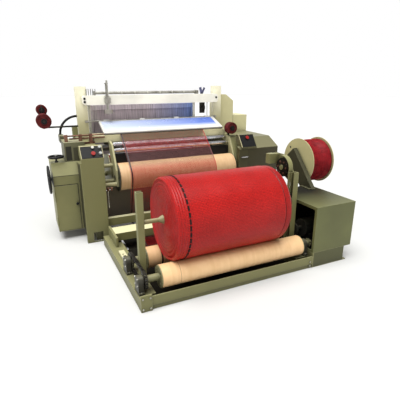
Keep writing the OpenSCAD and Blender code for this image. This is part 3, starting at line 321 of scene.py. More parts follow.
cover_seam = -476.0
dress(rubber("winding_rubber", "#deb888", "#cda371", cover_seam), "front_roller_cover", "rear_roller_cover")
greasy_iron = metal("greasy_iron", "#3b3934", 0.42, "#171512", 120.0)
greasy_casting = enamel("greasy_casting", "#35332a", "#77735c", 0.4, 0.15)
chain_side = (-860, -700, 60), (-728, -60, 330)
dress(enamel("roller_core_enamel", "#757250", "#b7b08a", 0.4, 0.15, patches=[(*chain_side, "#1c1a15", 0.9)]),
      "front_roller_core", "rear_roller_core")
dress(greasy_casting, "roller_bearings")
dress(greasy_iron, "roller_chain")
cap_face, cap_bolt = -813, 30
cap_bolts = [(cap_face, y + a, roller_z + b) for y in (front_y, rear_y) for a in (-cap_bolt, cap_bolt)
             for b in (-cap_bolt, cap_bolt)]
grow("bearing_cap_bolts", studs, {"Sides": 6, "Radius": 0.0075, "Depth": 0.012, "Material": zinc},
     "machine", "bare_steel", cap_bolts, [(-1, 0, 0)] * len(cap_bolts))

# Cloth roll: several hundred turns of red knotless net wound on a steel shaft. The edges of the
# turns stand as rings on each end, and a black marker yarn floats over the net beside the left selvedge.

roll_x0, roll_x1, roll_y, roll_z, roll_r = -520.0, 520.0, -372.0, 597.63, 345.0
marker_in, crease_in = 97.0, 77.0


def grid_mesh(name, points, uv=None, closed=False):
    """A mesh of quads through a table of points in millimetres; closed joins the last column to the first."""
    rows, columns = len(points), len(points[0])
    across = columns if closed else columns - 1
    faces = []
    for i in range(rows - 1):
        for j in range(across):
            k = (j + 1) % columns
            faces.append((i * columns + j, i * columns + k, (i + 1) * columns + k, (i + 1) * columns + j))
    mesh = bpy.data.meshes.new(name)
    mesh.from_pydata([Vector(p) / 1000 for row in points for p in row], [], faces)
    if uv:
        layer = mesh.uv_layers.new(name="net")
        for face in range(len(faces)):
            i, j = divmod(face, across)
            for corner, (a, b) in enumerate(((0, 0), (0, 1), (1, 1), (1, 0))):
                layer.data[face * 4 + corner].uv = uv(i + a, j + b)
    return mesh


def outward(mesh):
    bm = bmesh.new()
    bm.from_mesh(mesh)
    bmesh.ops.remove_doubles(bm, verts=bm.verts, dist=1e-6)
    bmesh.ops.recalc_face_normals(bm, faces=bm.faces)
    bm.to_mesh(mesh)
    bm.free()
    return mesh


def wound_net(name):
    """Net wound tight: threads 12 mm apart by UV, coarser than the real 5 mm so that they show, with shine
    in patches 6 mm wide, and painted shade in the crease near the right end."""
    material, tree = material_tree(name)
    where = add(tree, "ShaderNodeUVMap", uv_map="net")
    wave = {"Vector": where, "Scale": 26.0, "Distortion": 3.0, "Detail": 1.0, "Detail Scale": 3.0}
    bands = [add(tree, "ShaderNodeTexWave", wave, out="Fac", bands_direction=axis) for axis in "XY"]
    threads = add(tree, "ShaderNodeMath", {0: bands[0], 1: bands[1]}, operation="MAXIMUM")
    speckle = add(tree, "ShaderNodeTexNoise", {"Vector": where, "Scale": 110.0, "Detail": 3.0})
    cloud = add(tree, "ShaderNodeTexNoise", {"Vector": where, "Scale": 5.0, "Detail": 4.0})
    tone = add(tree, "ShaderNodeMath", {0: threads, 1: speckle}, operation="MULTIPLY")
    raised = add(tree, "ShaderNodeMapRange", {"Value": tone, "From Min": 0.12, "From Max": 0.62})
    base = add(tree, "ShaderNodeMix", {"Factor": raised, "A": "#6c0908", "B": "#bb1a16"}, data_type="RGBA")
    uneven = add(tree, "ShaderNodeMapRange",
                 {"Value": cloud, "From Min": 0.3, "From Max": 0.7, "To Min": 0.9, "To Max": 1.12})
    base = add(tree, "ShaderNodeHueSaturation", {"Value": uneven, "Color": base})
    place = add(tree, "ShaderNodeTexCoord", out="Object")
    across = add(tree, "ShaderNodeSeparateXYZ", {0: place}, out="X")
    crease_x = (roll_x1 - crease_in) / 1000
    beyond = add(tree, "ShaderNodeMapRange",
                 {"Value": across, "From Min": crease_x - 0.004, "From Max": crease_x + 0.004, "To Max": 0.3})
    base = add(tree, "ShaderNodeMix", {"Factor": beyond, "A": base, "B": "#5a0706"}, data_type="RGBA")
    # Painted shade: the crease near the right end is darkened towards near-black red.
    crease = add(tree, "ShaderNodeMath", {0: across, 1: crease_x, 2: 0.006}, operation="COMPARE")
    crease_shade = add(tree, "ShaderNodeMapRange", {"Value": crease, "To Max": 0.65})
    base = add(tree, "ShaderNodeMix", {"Factor": crease_shade, "A": base, "B": "#3c0404"}, data_type="RGBA")
    bump = add(tree, "ShaderNodeBump", {"Height": tone, "Strength": 0.55, "Distance": 0.0025})
    shader = add(tree, "ShaderNodeBsdfPrincipled",
                 {"Base Color": base, "Roughness": 0.36, "Specular IOR Level": 0.22, "Normal": bump})
    add(tree, "ShaderNodeOutputMaterial", {"Surface": shader})
    return material


def roll_profile(x):
    """Radius of the roll along its length: soft ends, a groove under the marker, a crease on the right."""
    left, right = x - roll_x0, roll_x1 - x
    r = roll_r - 0.6 * (1 + math.sin(x / 47))
    r -= 16 * max(0, 1 - left / 20) ** 2 + 26 * max(0, 1 - right / 34) ** 2
    r -= 4.5 * math.exp(-((left - marker_in) / 5) ** 2) + 7.0 * math.exp(-((right - crease_in) / 5) ** 2)
    r -= 5.0 / (1 + math.exp((right - crease_in) / 2))
    r -= sum(3.2 * math.exp(-((left - groove) / 4) ** 2) for groove in (30, 52, 74))
    return r - (1.0 if left < marker_in else 0)


def roll_point(x, c, s):
    """A point of the roll's skin, with soft hollows up to 2.8 mm deep and about 130 mm long."""
    r = roll_profile(x) - 1.4 * (1 + noise.noise((x / 130, 2.2 * c, 2.2 * s)))
    return (x, roll_y + r * c, roll_z + r * s)


columns = 192
ways = [(math.cos(2 * math.pi * j / columns), math.sin(2 * math.pi * j / columns)) for j in range(columns)]
roll_along = np.concatenate([np.linspace(roll_x0, roll_x0 + 130, 60),
                             np.linspace(roll_x0 + 138, roll_x1 - 112, 90),
                             np.linspace(roll_x1 - 106, roll_x1, 50)])
roll_rows = [[roll_point(x, c, s) for c, s in ways] for x in roll_along]
shaft_r, end_pitch = 18.2, 11.0
for x, inward in ((roll_x0, 1), (roll_x1, -1)):
    edge = roll_rows[0 if inward > 0 else -1][0]
    outer = math.hypot(edge[1] - roll_y, edge[2] - roll_z)
    rows = []
    for r in np.linspace(outer - 1.5, shaft_r, 110):
        rim = math.exp(-(outer - r) / 90)
        ring = []
        for j, (c, s) in enumerate(ways):
            lap = (r / end_pitch + j / columns) % 1.0
            deep = 3.0 * (1 - lap) ** 2 + 9.0 * rim * (0.5 - 0.5 * math.cos((outer - r) / 5.2))
            deep += 1.6 * (1 + noise.noise((r / 26, c, s)))
            ring.append((x + inward * deep * min(1, (outer - r) / 6), roll_y + r * c, roll_z + r * s))
        rows.append(ring)
    roll_rows = rows[::-1] + roll_rows if inward > 0 else roll_rows + rows
net_steps = [(Vector(b[0]) - Vector(a[0])).length / 1000 for a, b in zip(roll_rows, roll_rows[1:])]
net_run = np.cumsum([0] + net_steps)
girth = 2 * math.pi * roll_r / 1000
roll_mesh = grid_mesh("cloth_roll_wound", roll_rows, lambda i, j: (net_run[i], j / columns * girth), True)
roll = make("cloth_roll_wound", outward(roll_mesh), wound_net("wound_red_net"), "roll", 60)
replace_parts(roll, "cloth_roll")

rings, given, result = node_tree("ring_of_blocks", {"Count": "Int", "Radius": "Float", "Size": "Vector",
                                                    "Material": "Material"})
hoop = add(rings, "GeometryNodeMeshCircle", {"Vertices": given["Count"], "Radius": given["Radius"]})
block = add(rings, "GeometryNodeMeshCube", {"Size": given["Size"]})
place = add(rings, "GeometryNodeInputPosition")
spoke = add(rings, "FunctionNodeAlignRotationToVector", {"Vector": place}, axis="X")
blocks = add(rings, "GeometryNodeInstanceOnPoints", {"Points": hoop, "Instance": block, "Rotation": spoke})
along_x = (0.0, math.radians(90), 0.0)
upright = add(rings, "GeometryNodeTransform", {"Geometry": blocks, "Rotation": along_x})
placed = add(rings, "GeometryNodeInstanceOnPoints", {"Points": given["Geometry"], "Instance": upright})
finish_tree(rings, placed, given, result)


def yarn(name, colour, pale):
    """Twisted plastic yarn: fibres about 4 mm long and lays about 45 mm wide, lighter where they stand up,
    with a soft sheen."""
    material, tree = material_tree(name)
    where = add(tree, "ShaderNodeTexCoord", out="Object")
    fibre = add(tree, "ShaderNodeTexNoise", {"Vector": where, "Scale": 260.0, "Detail": 3.0})
    lay = add(tree, "ShaderNodeTexNoise", {"Vector": where, "Scale": 22.0, "Detail": 3.0})
    both = add(tree, "ShaderNodeMath", {0: fibre, 1: lay}, operation="MULTIPLY")
    raised = add(tree, "ShaderNodeMapRange", {"Value": both, "From Min": 0.14, "From Max": 0.42})
    base = add(tree, "ShaderNodeMix", {"Factor": raised, "A": colour, "B": pale}, data_type="RGBA")
    bump = add(tree, "ShaderNodeBump", {"Height": fibre, "Strength": 0.3, "Distance": 0.001})
    shader = add(tree, "ShaderNodeBsdfPrincipled",
                 {"Base Color": base, "Roughness": 0.5, "Specular IOR Level": 0.12, "Normal": bump})
    add(tree, "ShaderNodeOutputMaterial", {"Surface": shader})
    return material


black_yarn = yarn("black_marker_yarn", "#120d0d", "#2a2020")
dash_size, dash_r = (0.004, 0.036, 0.015), (roll_r - 2.5) / 1000
grow("roll_marker_dashes", rings, {"Count": 42, "Radius": dash_r, "Size": dash_size, "Material": black_yarn},
     "roll", "black_plastic", [(roll_x0 + marker_in, roll_y, roll_z)])
dress(enamel("roll_shaft_enamel", "#7c7552", "#c2bb94", 0.4, 0.5), "roll_shaft")
dress(greasy_iron, "roll_bushes")

# Drive cabinet: folded sheet steel in olive enamel, painted dark inside for shade, open towards the rollers,
# with the motor inside and the lifting gear for the roll on the right post.

# Painted shade and shadow: the cabinet's olive is darker than the rest, the open bay is painted near-black
# for the shade inside it, and a soft dark round mark on the top is the painted shadow of the spool bracket.
bay = (824, -668, 152), (1276, -44, 584)
bracket_shadow_centre = (1090, -110, 588)
dress(enamel("drive_cabinet_enamel", "#5f613b", dust_and_top_light=0.05, patches=[(*bay, "#100f0c", 0.95)],
             round_marks=[(bracket_shadow_centre, 640, "#1b1a14", 1.0)]), "drive_cabinet")
dress(enamel("dark_motor_enamel", "#23241e", "#5b5a48", 0.5, 0.1), "drive_motor")
dress(olive, "lift_bracket")
dress(greasy_iron, "lift_wheel")
copper = metal("weft_copper", "#8a6656", 0.5, "#4a352c")
lift_y, lift_z, wheel_face, bolt_ring = -217.0, 870.0, 752.0, 58
wheel_bolts = [(wheel_face, lift_y + bolt_ring * math.cos(a), lift_z + bolt_ring * math.sin(a))
               for a in np.radians(range(0, 360, 60))]
grow("lift_wheel_bolts", studs, {"Sides": 6, "Radius": 0.009, "Depth": 0.008, "Material": copper},
     "lift_wheel", "copper_rod", wheel_bolts, [(-1, 0, 0)] * len(wheel_bolts))

# Yarn spool: a flanged spool of pressed and painted steel on a spindle, carried by a channel that
# leans back from the cabinet, wound nearly full with red yarn and some loose turns on top.

spool_x0, spool_x1, spool_y, spool_z = 1226.0, 1489.0, 104.0, 828.0
spool_core_r, spool_yarn_r, spool_length = 61, 219, spool_x1 - spool_x0
winding, given, result = node_tree("yarn_winding", {"Turns": "Float", "Radius": "Float", "Length": "Float",
                                                    "Yarn radius": "Float", "Turn": "Rotation",
                                                    "Material": "Material"})
coil = add(winding, "GeometryNodeCurveSpiral",
           {"Resolution": 40, "Rotations": given["Turns"], "Start Radius": given["Radius"],
            "End Radius": given["Radius"], "Height": given["Length"]})
strand = add(winding, "GeometryNodeCurvePrimitiveCircle", {"Resolution": 5, "Radius": given["Yarn radius"]})
wound = add(winding, "GeometryNodeCurveToMesh", {"Curve": coil, "Profile Curve": strand, "Fill Caps": True})
turned = add(winding, "GeometryNodeTransform", {"Geometry": wound, "Rotation": given["Turn"]})
placed = add(winding, "GeometryNodeInstanceOnPoints", {"Points": given["Geometry"], "Instance": turned})
finish_tree(winding, placed, given, result)


def turned_mesh(name, profile, centre, axis, segments=72):
    """A closed lathe shape in millimetres, turned about an axis; profile points are (along, radius)."""
    turn = Vector(axis).to_track_quat("Z", "Y")
    angles = [2 * math.pi * j / segments for j in range(segments)]
    rows = [[Vector(centre) + turn @ Vector((r * math.cos(a), r * math.sin(a), along)) for a in angles]
            for along, r in profile]
    return outward(grid_mesh(name, rows + [rows[0]], closed=True))


red_yarn = yarn("twisted_red_yarn", "#500911", "#96131d")
loose_yarn = yarn("loose_red_yarn", "#8c1a1f", "#b8383a")
spool_profile = [(0, spool_core_r), (0, spool_yarn_r), (spool_length, spool_yarn_r),
                 (spool_length, spool_core_r)]
core_mesh = turned_mesh("spool_yarn_body", spool_profile, (spool_x0, spool_y, spool_z), (1, 0, 0))
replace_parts(make("spool_yarn_body", core_mesh, red_yarn, "spool"), "spool_yarn")
grow("spool_yarn_turns", winding, {"Turns": 44.0, "Radius": 0.2212, "Length": 0.255, "Yarn radius": 0.0032,
                                   "Turn": along_x, "Material": red_yarn},
     "spool", "red_yarn", [(spool_x0 + 4, spool_y, spool_z)])
grow("spool_yarn_loose", winding, {"Turns": 17.0, "Radius": 0.2252, "Length": 0.24, "Yarn radius": 0.0016,
                                   "Turn": along_x, "Material": loose_yarn},
     "spool", "red_yarn", [(spool_x0 + 10, spool_y, spool_z)])
flange_hole = (1219, 238, 950), (1221, 258, 970)
dress(enamel("spool_enamel", "#b3ac7e", "#dcd7b4", 0.4, 0.2, patches=[(*flange_hole, "#14130f", 1.0)]),
      "yarn_spool")
# Painted shade: the spool bracket is painted a dark olive for the shade on its face.
dress(enamel("spool_bracket_enamel", "#333220", "#9b966f", 0.5, 0.1), "spool_bracket")

# Loom frame and covers: cast side frames and folded sheet covers in the same olive enamel. The right
# cabinet is painted darker below its hood for shade, with a chromed pull handle on the front.


def rods(name, material, body, slot, *pieces):
    """Round rods in millimetres, each (start, end, radius)."""
    bm = bmesh.new()
    for start, end, radius in pieces:
        a, b, r = Vector(start) / 1000, Vector(end) / 1000, radius / 1000
        place = Matrix.Translation((a + b) / 2) @ (b - a).to_track_quat("Z", "Y").to_matrix().to_4x4()
        bmesh.ops.create_cone(bm, cap_ends=True, segments=20, radius1=r, radius2=r, depth=(b - a).length,
                              matrix=place)
    mesh = bpy.data.meshes.new(name)
    bm.to_mesh(mesh)
    bm.free()
    return make(name, mesh, material, body, 40)


chrome = metal("polished_chrome", "#e4e4e6", 0.14, "#a9aaad", 200.0)
steel = metal("turned_steel", "#9c9a92", 0.34, "#5f5c52")
dress(olive, "side_frames")
# Painted light: the upper boxes are painted pale khaki for the strong light on the upper loom.
dress(enamel("pale_box_enamel", "#c4be92", "#e0dcc0"), "upper_boxes")
cover_front = (-972, 770, -5), (-734, 782, 905)
cover_joint = (-985, 820, -5), (-962, 1000, 900)
dress(enamel("left_cover_enamel", olive_paint,
             patches=[(*cover_front, "#75734b", 1.0), (*cover_joint, "#201e17", 0.9)]), "left_end_cover")
# Painted shade: the right cabinet has its own darker olive, its front below the hood darker still, and the
# console box's front a little less dark than that front.
cabinet_front = (860, 760, -5), (1460, 980, 872)
console_box = (880, 760, -5), (1002, 830, 890)
dress(enamel("right_cabinet_enamel", "#514e33", dust_and_top_light=0.2,
             patches=[(*cabinet_front, "#38341f", 0.85), (*console_box, "#454228", 0.8)]), "right_cabinet")
pull_y, pull_z, pull_foot = 764, 778, 777
rods("cabinet_handle", chrome, "machine", "polished_steel", ((908, pull_y, pull_z), (998, pull_y, pull_z), 8),
     *[((x, pull_y, pull_z), (x, pull_foot, pull_z), 5) for x in (914, 992)])

# Gear box: a folded steel box on the left end with a hinged door, a bright top edge and dark gaps
# round the door. Two black handwheels turn the gear train by hand.

dark_line = "#1a1813"
gap_top = (-1226, 980, 609), (-984, 990, 618)
gap_side = (-992, 980, 100), (-984, 990, 618)
fold = (-1230, 980, 708), (-960, 992, 716)
dress(enamel("gear_box_enamel", "#78764d", patches=[(*gap_top, dark_line, 0.95), (*gap_side, dark_line, 0.95),
                                                    (*fold, dark_line, 0.7)]), "gear_box")
dress(olive, "gear_box_door")


def plastic(name, colour, roughness, grain=700.0):
    """Moulded plastic: a spark-eroded grain 1.5 mm wide, a slight sheen, dusty in patches 60 mm wide."""
    material, tree = material_tree(name)
    where = add(tree, "ShaderNodeTexCoord", out="Object")
    pits = add(tree, "ShaderNodeTexNoise", {"Vector": where, "Scale": grain})
    haze = add(tree, "ShaderNodeTexNoise", {"Vector": where, "Scale": 18.0, "Detail": 4.0})
    dusty = add(tree, "ShaderNodeMapRange", {"Value": haze, "To Min": 0.8, "To Max": 1.25})
    base = add(tree, "ShaderNodeHueSaturation", {"Value": dusty, "Color": colour})
    rounded = add(tree, "ShaderNodeBevel", {"Radius": 0.0015}, samples=4)
    bump = add(tree, "ShaderNodeBump",
               {"Height": pits, "Strength": 0.1, "Distance": 0.0003, "Normal": rounded})
    dull = add(tree, "ShaderNodeMapRange",
               {"Value": haze, "To Min": roughness * 0.8, "To Max": roughness * 1.3})
    shader = add(tree, "ShaderNodeBsdfPrincipled",
                 {"Base Color": base, "Roughness": dull, "Specular IOR Level": 0.25, "Normal": bump})
    add(tree, "ShaderNodeOutputMaterial", {"Surface": shader})
    return material


black = plastic("black_moulding", "#0e0e0e", 0.45)
dress(black, "top_handwheel", "side_handwheel")
door_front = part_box("gear_box_door")[0][1] * 1000
lock_profile = [(-4, 0.1), (-4, 15), (4, 15), (6, 12), (6, 0.1)]
lock_mesh = turned_mesh("door_lock_cap", lock_profile, (-1011, door_front, 400), (0, -1, 0), 32)
make("door_lock_cap", lock_mesh, black, "door")
cap_profile = [(-2, 0.1), (-2, 13), (3, 12), (5, 0.1)]
cap_mesh = turned_mesh("top_wheel_cap", cap_profile, (-1165, 1103, 911), (0, 0, 1), 32)
make("top_wheel_cap", cap_mesh, steel, "top_handwheel")

# Control consoles: black moulded panels on the sloping tops of the covers, edged with pale enamelled
# strip, with push buttons of coloured plastic in grey rings.

white_plastic = plastic("white_button_plastic", "#c4c2b8", 0.35)
grey_plastic = plastic("grey_button_plastic", "#6d6e6a", 0.35)
dress(black, "control_plates")
dress(white_plastic, "start_button")
dress(plastic("pale_grey_plastic", "#a4a5a0", 0.35), "jog_button", "reverse_button")
dress(plastic("red_button_plastic", "#8e1d18", 0.35), "stop_button", "right_stop_button")
left_lip, right_lip = ((775.0, 910.0), (860.0, 1025.0)), ((768.0, 893.0), (868.0, 1035.0))


def on_slope(lip, x, up, out):
    """A point on a console's slope in millimetres: up along it from the lip, and out from its face."""
    rise, climb = lip[1][0] - lip[0][0], lip[1][1] - lip[0][1]
    length = math.hypot(rise, climb)
    return (x, lip[0][0] + (up * rise - out * climb) / length, lip[0][1] + (up * climb + out * rise) / length)


out_left = Vector(on_slope(left_lip, 0, 0, 1)) - Vector(on_slope(left_lip, 0, 0, 0))
ring_profile = [(6, 14.8), (11, 14.8), (11, 19), (6, 19)]
for name, x, up in (("jog_ring", -756, 122), ("reverse_ring", -757, 52)):
    ring_mesh = turned_mesh(name, ring_profile, on_slope(left_lip, x, up, 0), out_left, 40)
    make(name, ring_mesh, grey_plastic, "machine")
edging = enamel("console_edging", "#a7a07a", "#d8d2b0", 0.4, 0.5)
strips = [(left_lip, (-952, 0), (-952, 143), 4, 7, 9), (left_lip, (-733, 0), (-733, 143), 4, 6, 9),
          (left_lip, (-955, 141), (-730, 141), 3, 8, 8), (right_lip, (918, 0), (918, 173), 4, 7, 9)]
bars("console_edges", edging, "machine", "pale_paint",
     *[(on_slope(lip, *start, out), on_slope(lip, *end, out), width, thick, (0, -1, 1))
       for lip, start, end, out, width, thick in strips])

# Gantry: channels and a box beam over the shed, olive below and painted pale cream above for the strong
# light from overhead, with bright rods, a harness tube tied with white bands, and a dark chain gear at the
# right end.

front = (0, -1, 0)
# Painted light: the beam is painted near white, and the uprights pale khaki fading to cream from 1.18 m to
# 1.48 m up, for the strong light on the upper loom.
pale_beam = enamel("pale_beam_enamel", "#f6f4e6", "#faf8ee", 0.4, 0.2, dusty="#f6f4e8")
dress(pale_beam, "gantry_beam")
dress(enamel("upright_enamel", "#bdb78e", "#d9d4b0", 0.42, 0.3, upper=("#f0ecd0", 1180, 1480)),
      "gantry_uprights")
bright_rod = metal("bright_rod_steel", "#aeaca3", 0.38, "#77746a")
dress(bright_rod, "gantry_rods")
bolt_y = 1416
beam_bolts = [(-772, bolt_y, 1468), (-772, bolt_y, 1432), (896, bolt_y, 1458)]
grow("beam_end_bolts", studs, {"Sides": 12, "Radius": 0.013, "Depth": 0.01, "Material": black},
     "machine", "black_plastic", beam_bolts, [front] * len(beam_bolts))
ties = [(x, 1528, 1527) for x in np.arange(-640, 640, 160)]
grow("harness_ties", studs, {"Sides": 24, "Radius": 0.0192, "Depth": 0.012, "Material": white_plastic},
     "machine", "white_plastic", ties, [(1, 0, 0)] * len(ties))
pins = [(x, 1466, 1538) for x in (-738, -716, -690, -668, -640)]
grow("harness_pins", studs, {"Sides": 10, "Radius": 0.004, "Depth": 0.072, "Material": steel},
     "machine", "bare_steel", pins, [(0, 0, 1)] * len(pins))
violet = metal("violet_heald_alloy", "#6b6d8c", 0.4, "#45405a", 300.0)
bars("gantry_pennant", violet, "machine", "violet_frame",
     ((712, 1472, 1500), (690, 1472, 1584), 34, 4, front),
     ((714, 1472, 1502), (752, 1472, 1580), 26, 4, front))
bars("chain_gear", greasy_iron, "machine", "dark_iron",
     ((712, 1462, 1400), (712, 1462, 1262), 70, 16, front),
     ((690, 1452, 1330), (752, 1452, 1330), 46, 8, front),
     ((735, 1450, 1392), (735, 1450, 1280), 18, 12, front))
beads = [(786, 1462, z) for z in range(1222, 1398, 14)]
grow("bead_chain", studs, {"Sides": 10, "Radius": 0.0065, "Depth": 0.009, "Material": steel},
     "machine", "bare_steel", beads, [(0, 0, 1)] * len(beads))
feeler_y = 1396
rods("feeler_twin", bright_rod, "machine", "bare_steel",
     ((-534, feeler_y, 1300), (-534, feeler_y, 1640), 4.5),
     ((-545, feeler_y, 1634), (-505, feeler_y, 1634), 4.5),
     ((-518, feeler_y - 16, 1652), (-518, feeler_y + 16, 1652), 4))

# Harness cords: stiff white plastic cords, tied from the underside of the beam down to the guard's
# hinge rod, left of the healds.

cords = [(-706, -684), (-668, -690), (-650, -662), (-640, -640)]
rods("harness_cords", white_plastic, "machine", "white_plastic",
     *[((top, 1470, 1399), (foot, 1466, 1216), 1.7) for top, foot in cords])

# Take-up: a breast beam in pale enamel, painted lighter to offset the guard's shadow, chromed guide rollers,
# a black cover bar, and the rubber covered roller that draws the net down. A pale lever and copper oil
# fittings stand by its left bracket.

# Painted light: the breast beam's pale khaki is made lighter to offset the guard's shadow on its front.
dress(enamel("breast_beam_enamel", "#d3cda2"), "breast_beam")
dress(chrome, "upper_guide_roller", "lower_guide_roller")
dress(black, "cover_bar")
dress(enamel("roller_bracket_enamel", "#aaa57c", "#d6d1ae", 0.5), "roller_brackets")
dress(greasy_casting, "take_up_core")
dress(rubber("take_up_rubber", "#c9a67c", "#b48c60"), "take_up_cover")
lever_x = -601
lever = [(lever_x, y, z) for y, z in ((1205, 835), (1168, 812), (1130, 760), (1100, 690), (1088, 640))]
bars("take_up_lever", edging, "machine", "pale_paint",
     *[(a, b, 24, 9, (1, 0, 0)) for a, b in zip(lever, lever[1:])])
oil_y = 858
rods("oil_fittings", copper, "machine", "copper_rod",
     *[((x, oil_y, 536), (x, oil_y - 12, 566), 13) for x in (-728, -696, -662)])
rods("oil_pipe", chrome, "machine", "polished_steel", ((-752, oil_y, 540), (-655, oil_y, 540), 6),
     ((-700, oil_y, 540), (-700, oil_y, 340), 6.5))

# Guard: a white painted steel frame on a hinge rod, with a pane of cast blue acrylic, smooth and a little
# hazy. The pane is paler to the left and towards its front lip, where light comes in at the edge.

dress(enamel("white_enamel", "#c9c8c2", "#e2e1dc", 0.35, 0.1), "guard_frame")
pane, tree = material_tree("blue_acrylic")
where = add(tree, "ShaderNodeTexCoord", out="Object")
haze = add(tree, "ShaderNodeTexNoise", {"Vector": where, "Scale": 6.0, "Detail": 3.0})
across = add(tree, "ShaderNodeSeparateXYZ", {0: where}, out="X")
depth = add(tree, "ShaderNodeSeparateXYZ", {0: where}, out="Y")
deeper = add(tree, "ShaderNodeMapRange", {"Value": across, "From Min": -0.5, "From Max": 0.75})
tint = add(tree, "ShaderNodeMix", {"Factor": deeper, "A": "#c9d3ea", "B": "#5c7bd0"}, data_type="RGBA")
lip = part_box("guard_pane")[0][1]
edge_lit = add(tree, "ShaderNodeMapRange", {"Value": depth, "From Min": lip + 0.01, "From Max": lip + 0.06,
                                            "To Min": 0.6, "To Max": 0.0})
tint = add(tree, "ShaderNodeMix", {"Factor": edge_lit, "A": tint, "B": "#e4eaf5"}, data_type="RGBA")
hazy = add(tree, "ShaderNodeMapRange", {"Value": haze, "To Min": 0.15, "To Max": 0.35})
shader = add(tree, "ShaderNodeBsdfPrincipled",
             {"Base Color": tint, "Roughness": hazy, "IOR": 1.49, "Transmission Weight": 0.25})
add(tree, "ShaderNodeOutputMaterial", {"Surface": shader})
dress(pane, "guard_pane")

# Healds, sley and warp: a steel reed and close heddle wires in violet grey frames, with the warp drawn
# through them from a wound beam at the back of the loom, over a steel back rest.

mesh_l, mesh_rt, warp_ends = -455.0, 590.0, 260
warp_pitch = (mesh_rt - mesh_l) / warp_ends
dress(steel, "sley", "back_rest")
# Lacquered steel wire: each wire catches the light by itself, in bands 4 mm wide, and bluer to the right.
heddle_lacquer, tree = material_tree("heddle_lacquer")
where = add(tree, "ShaderNodeTexCoord", out="Object")
across = add(tree, "ShaderNodeSeparateXYZ", {0: where}, out="X")
each_wire = add(tree, "ShaderNodeMapping", {"Vector": where, "Scale": (250.0, 1.0, 5.0)})
glint = add(tree, "ShaderNodeTexNoise", {"Vector": each_wire, "Scale": 1.0, "Detail": 2.0})
bluer = add(tree, "ShaderNodeMapRange", {"Value": across, "From Max": 0.6})
tint = add(tree, "ShaderNodeMix", {"Factor": bluer, "A": "#c0b3b8", "B": "#7088c0"}, data_type="RGBA")
bright = add(tree, "ShaderNodeMapRange",
             {"Value": glint, "From Min": 0.3, "From Max": 0.7, "To Min": 0.6, "To Max": 1.35})
tint = add(tree, "ShaderNodeHueSaturation", {"Value": bright, "Color": tint})
shader = add(tree, "ShaderNodeBsdfPrincipled", {"Base Color": tint, "Roughness": 0.4})
add(tree, "ShaderNodeOutputMaterial", {"Surface": shader})
dress(heddle_lacquer, "front_heald_frame", "rear_heald_frame")
dress(olive, "warp_beam")
heald_z0, heald_z1, wire_back, frame_side = 855.0, 1330.0, 14, 12
frame_l, frame_r = (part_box("front_heald_frame")[i][0] * 1000 for i in (0, 1))
wire_x = np.arange(frame_l + frame_side, frame_r - frame_side, warp_pitch)
for name, body, y in (("front_heddles", "front_heald", 1575.0), ("rear_heddles", "rear_heald", 1620.0)):
    grow(name, studs, {"Sides": 4, "Radius": 0.0024, "Depth": (heald_z1 - heald_z0) / 1000,
                       "Material": heddle_lacquer}, body, "violet_frame",
         [(x, y + wire_back, (heald_z0 + heald_z1) / 2) for x in wire_x], [(0, 0, 1)] * len(wire_x))
reed_y, reed_z = 1438, 1105
reed_points = [(mesh_l + (i + 0.5) * warp_pitch, reed_y, reed_z) for i in range(warp_ends)]
grow("reed_wires", studs, {"Sides": 4, "Radius": 0.0009, "Depth": 0.084, "Material": steel},
     "sley", "bare_steel", reed_points, [(0, 0, 1)] * warp_ends)

threads, given, result = node_tree("threads", {"Radius": "Float", "Material": "Material"})
line = add(threads, "GeometryNodeMeshToCurve", {"Mesh": given["Geometry"]})
section = add(threads, "GeometryNodeCurvePrimitiveCircle", {"Resolution": 4, "Radius": given["Radius"]})
tube = add(threads, "GeometryNodeCurveToMesh", {"Curve": line, "Profile Curve": section, "Fill Caps": True})
finish_tree(threads, tube, given, result)
fell_y, warp_z = 1343.0, 1091.4
rest_y, rest_z, rest_r = 2088.0, 1044.9, 45.0 + 1.4
beam_y, beam_z, beam_r = 1888.0, 480.0, 240.0 + 1.4
drop = [(fell_y, warp_z)]
drop += [(rest_y + rest_r * math.cos(a), rest_z + rest_r * math.sin(a))
         for a in np.radians(np.linspace(90, 0, 8))]
drop += [(beam_y + beam_r * math.cos(a), beam_z + beam_r * math.sin(a))
         for a in np.radians(np.linspace(0, -18, 4))]
warp_x = [mesh_l + i * warp_pitch for i in range(warp_ends + 1) if i % 5]
warp_points = [(x, y, z) for x in warp_x for y, z in drop]
warp_edges = [(k * len(drop) + i, k * len(drop) + i + 1)
              for k in range(len(warp_x)) for i in range(len(drop) - 1)]
warp = grow("warp_threads", threads, {"Radius": 0.0009, "Material": red_yarn}, "machine", "red_yarn",
            warp_points, None, warp_edges)
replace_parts(warp, "warp_sheet")
beam_l, beam_len, beam_core, wound_r = -483.0, 1101.0, 90.4, 236
wound_profile = [(0, beam_core), (0, wound_r), (beam_len, wound_r), (beam_len, beam_core)]
wound_warp = turned_mesh("warp_beam_body", wound_profile, (beam_l, beam_y, beam_z), (1, 0, 0), 96)
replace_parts(make("warp_beam_body", wound_warp, red_yarn, "warp_beam"), "warp_yarn")
grow("warp_beam_turns", winding, {"Turns": 215.0, "Radius": 0.2374, "Length": 1.094, "Yarn radius": 0.0024,
                                  "Turn": along_x, "Material": red_yarn},
     "warp_beam", "red_yarn", [(beam_l + 3.5, beam_y, beam_z)])

# Picking gear: a dark olive casting, painted darker in its recess for shade, with copper coloured weft rods,
# a black hose to the upright, and cross wound packages of red yarn on iron holders.

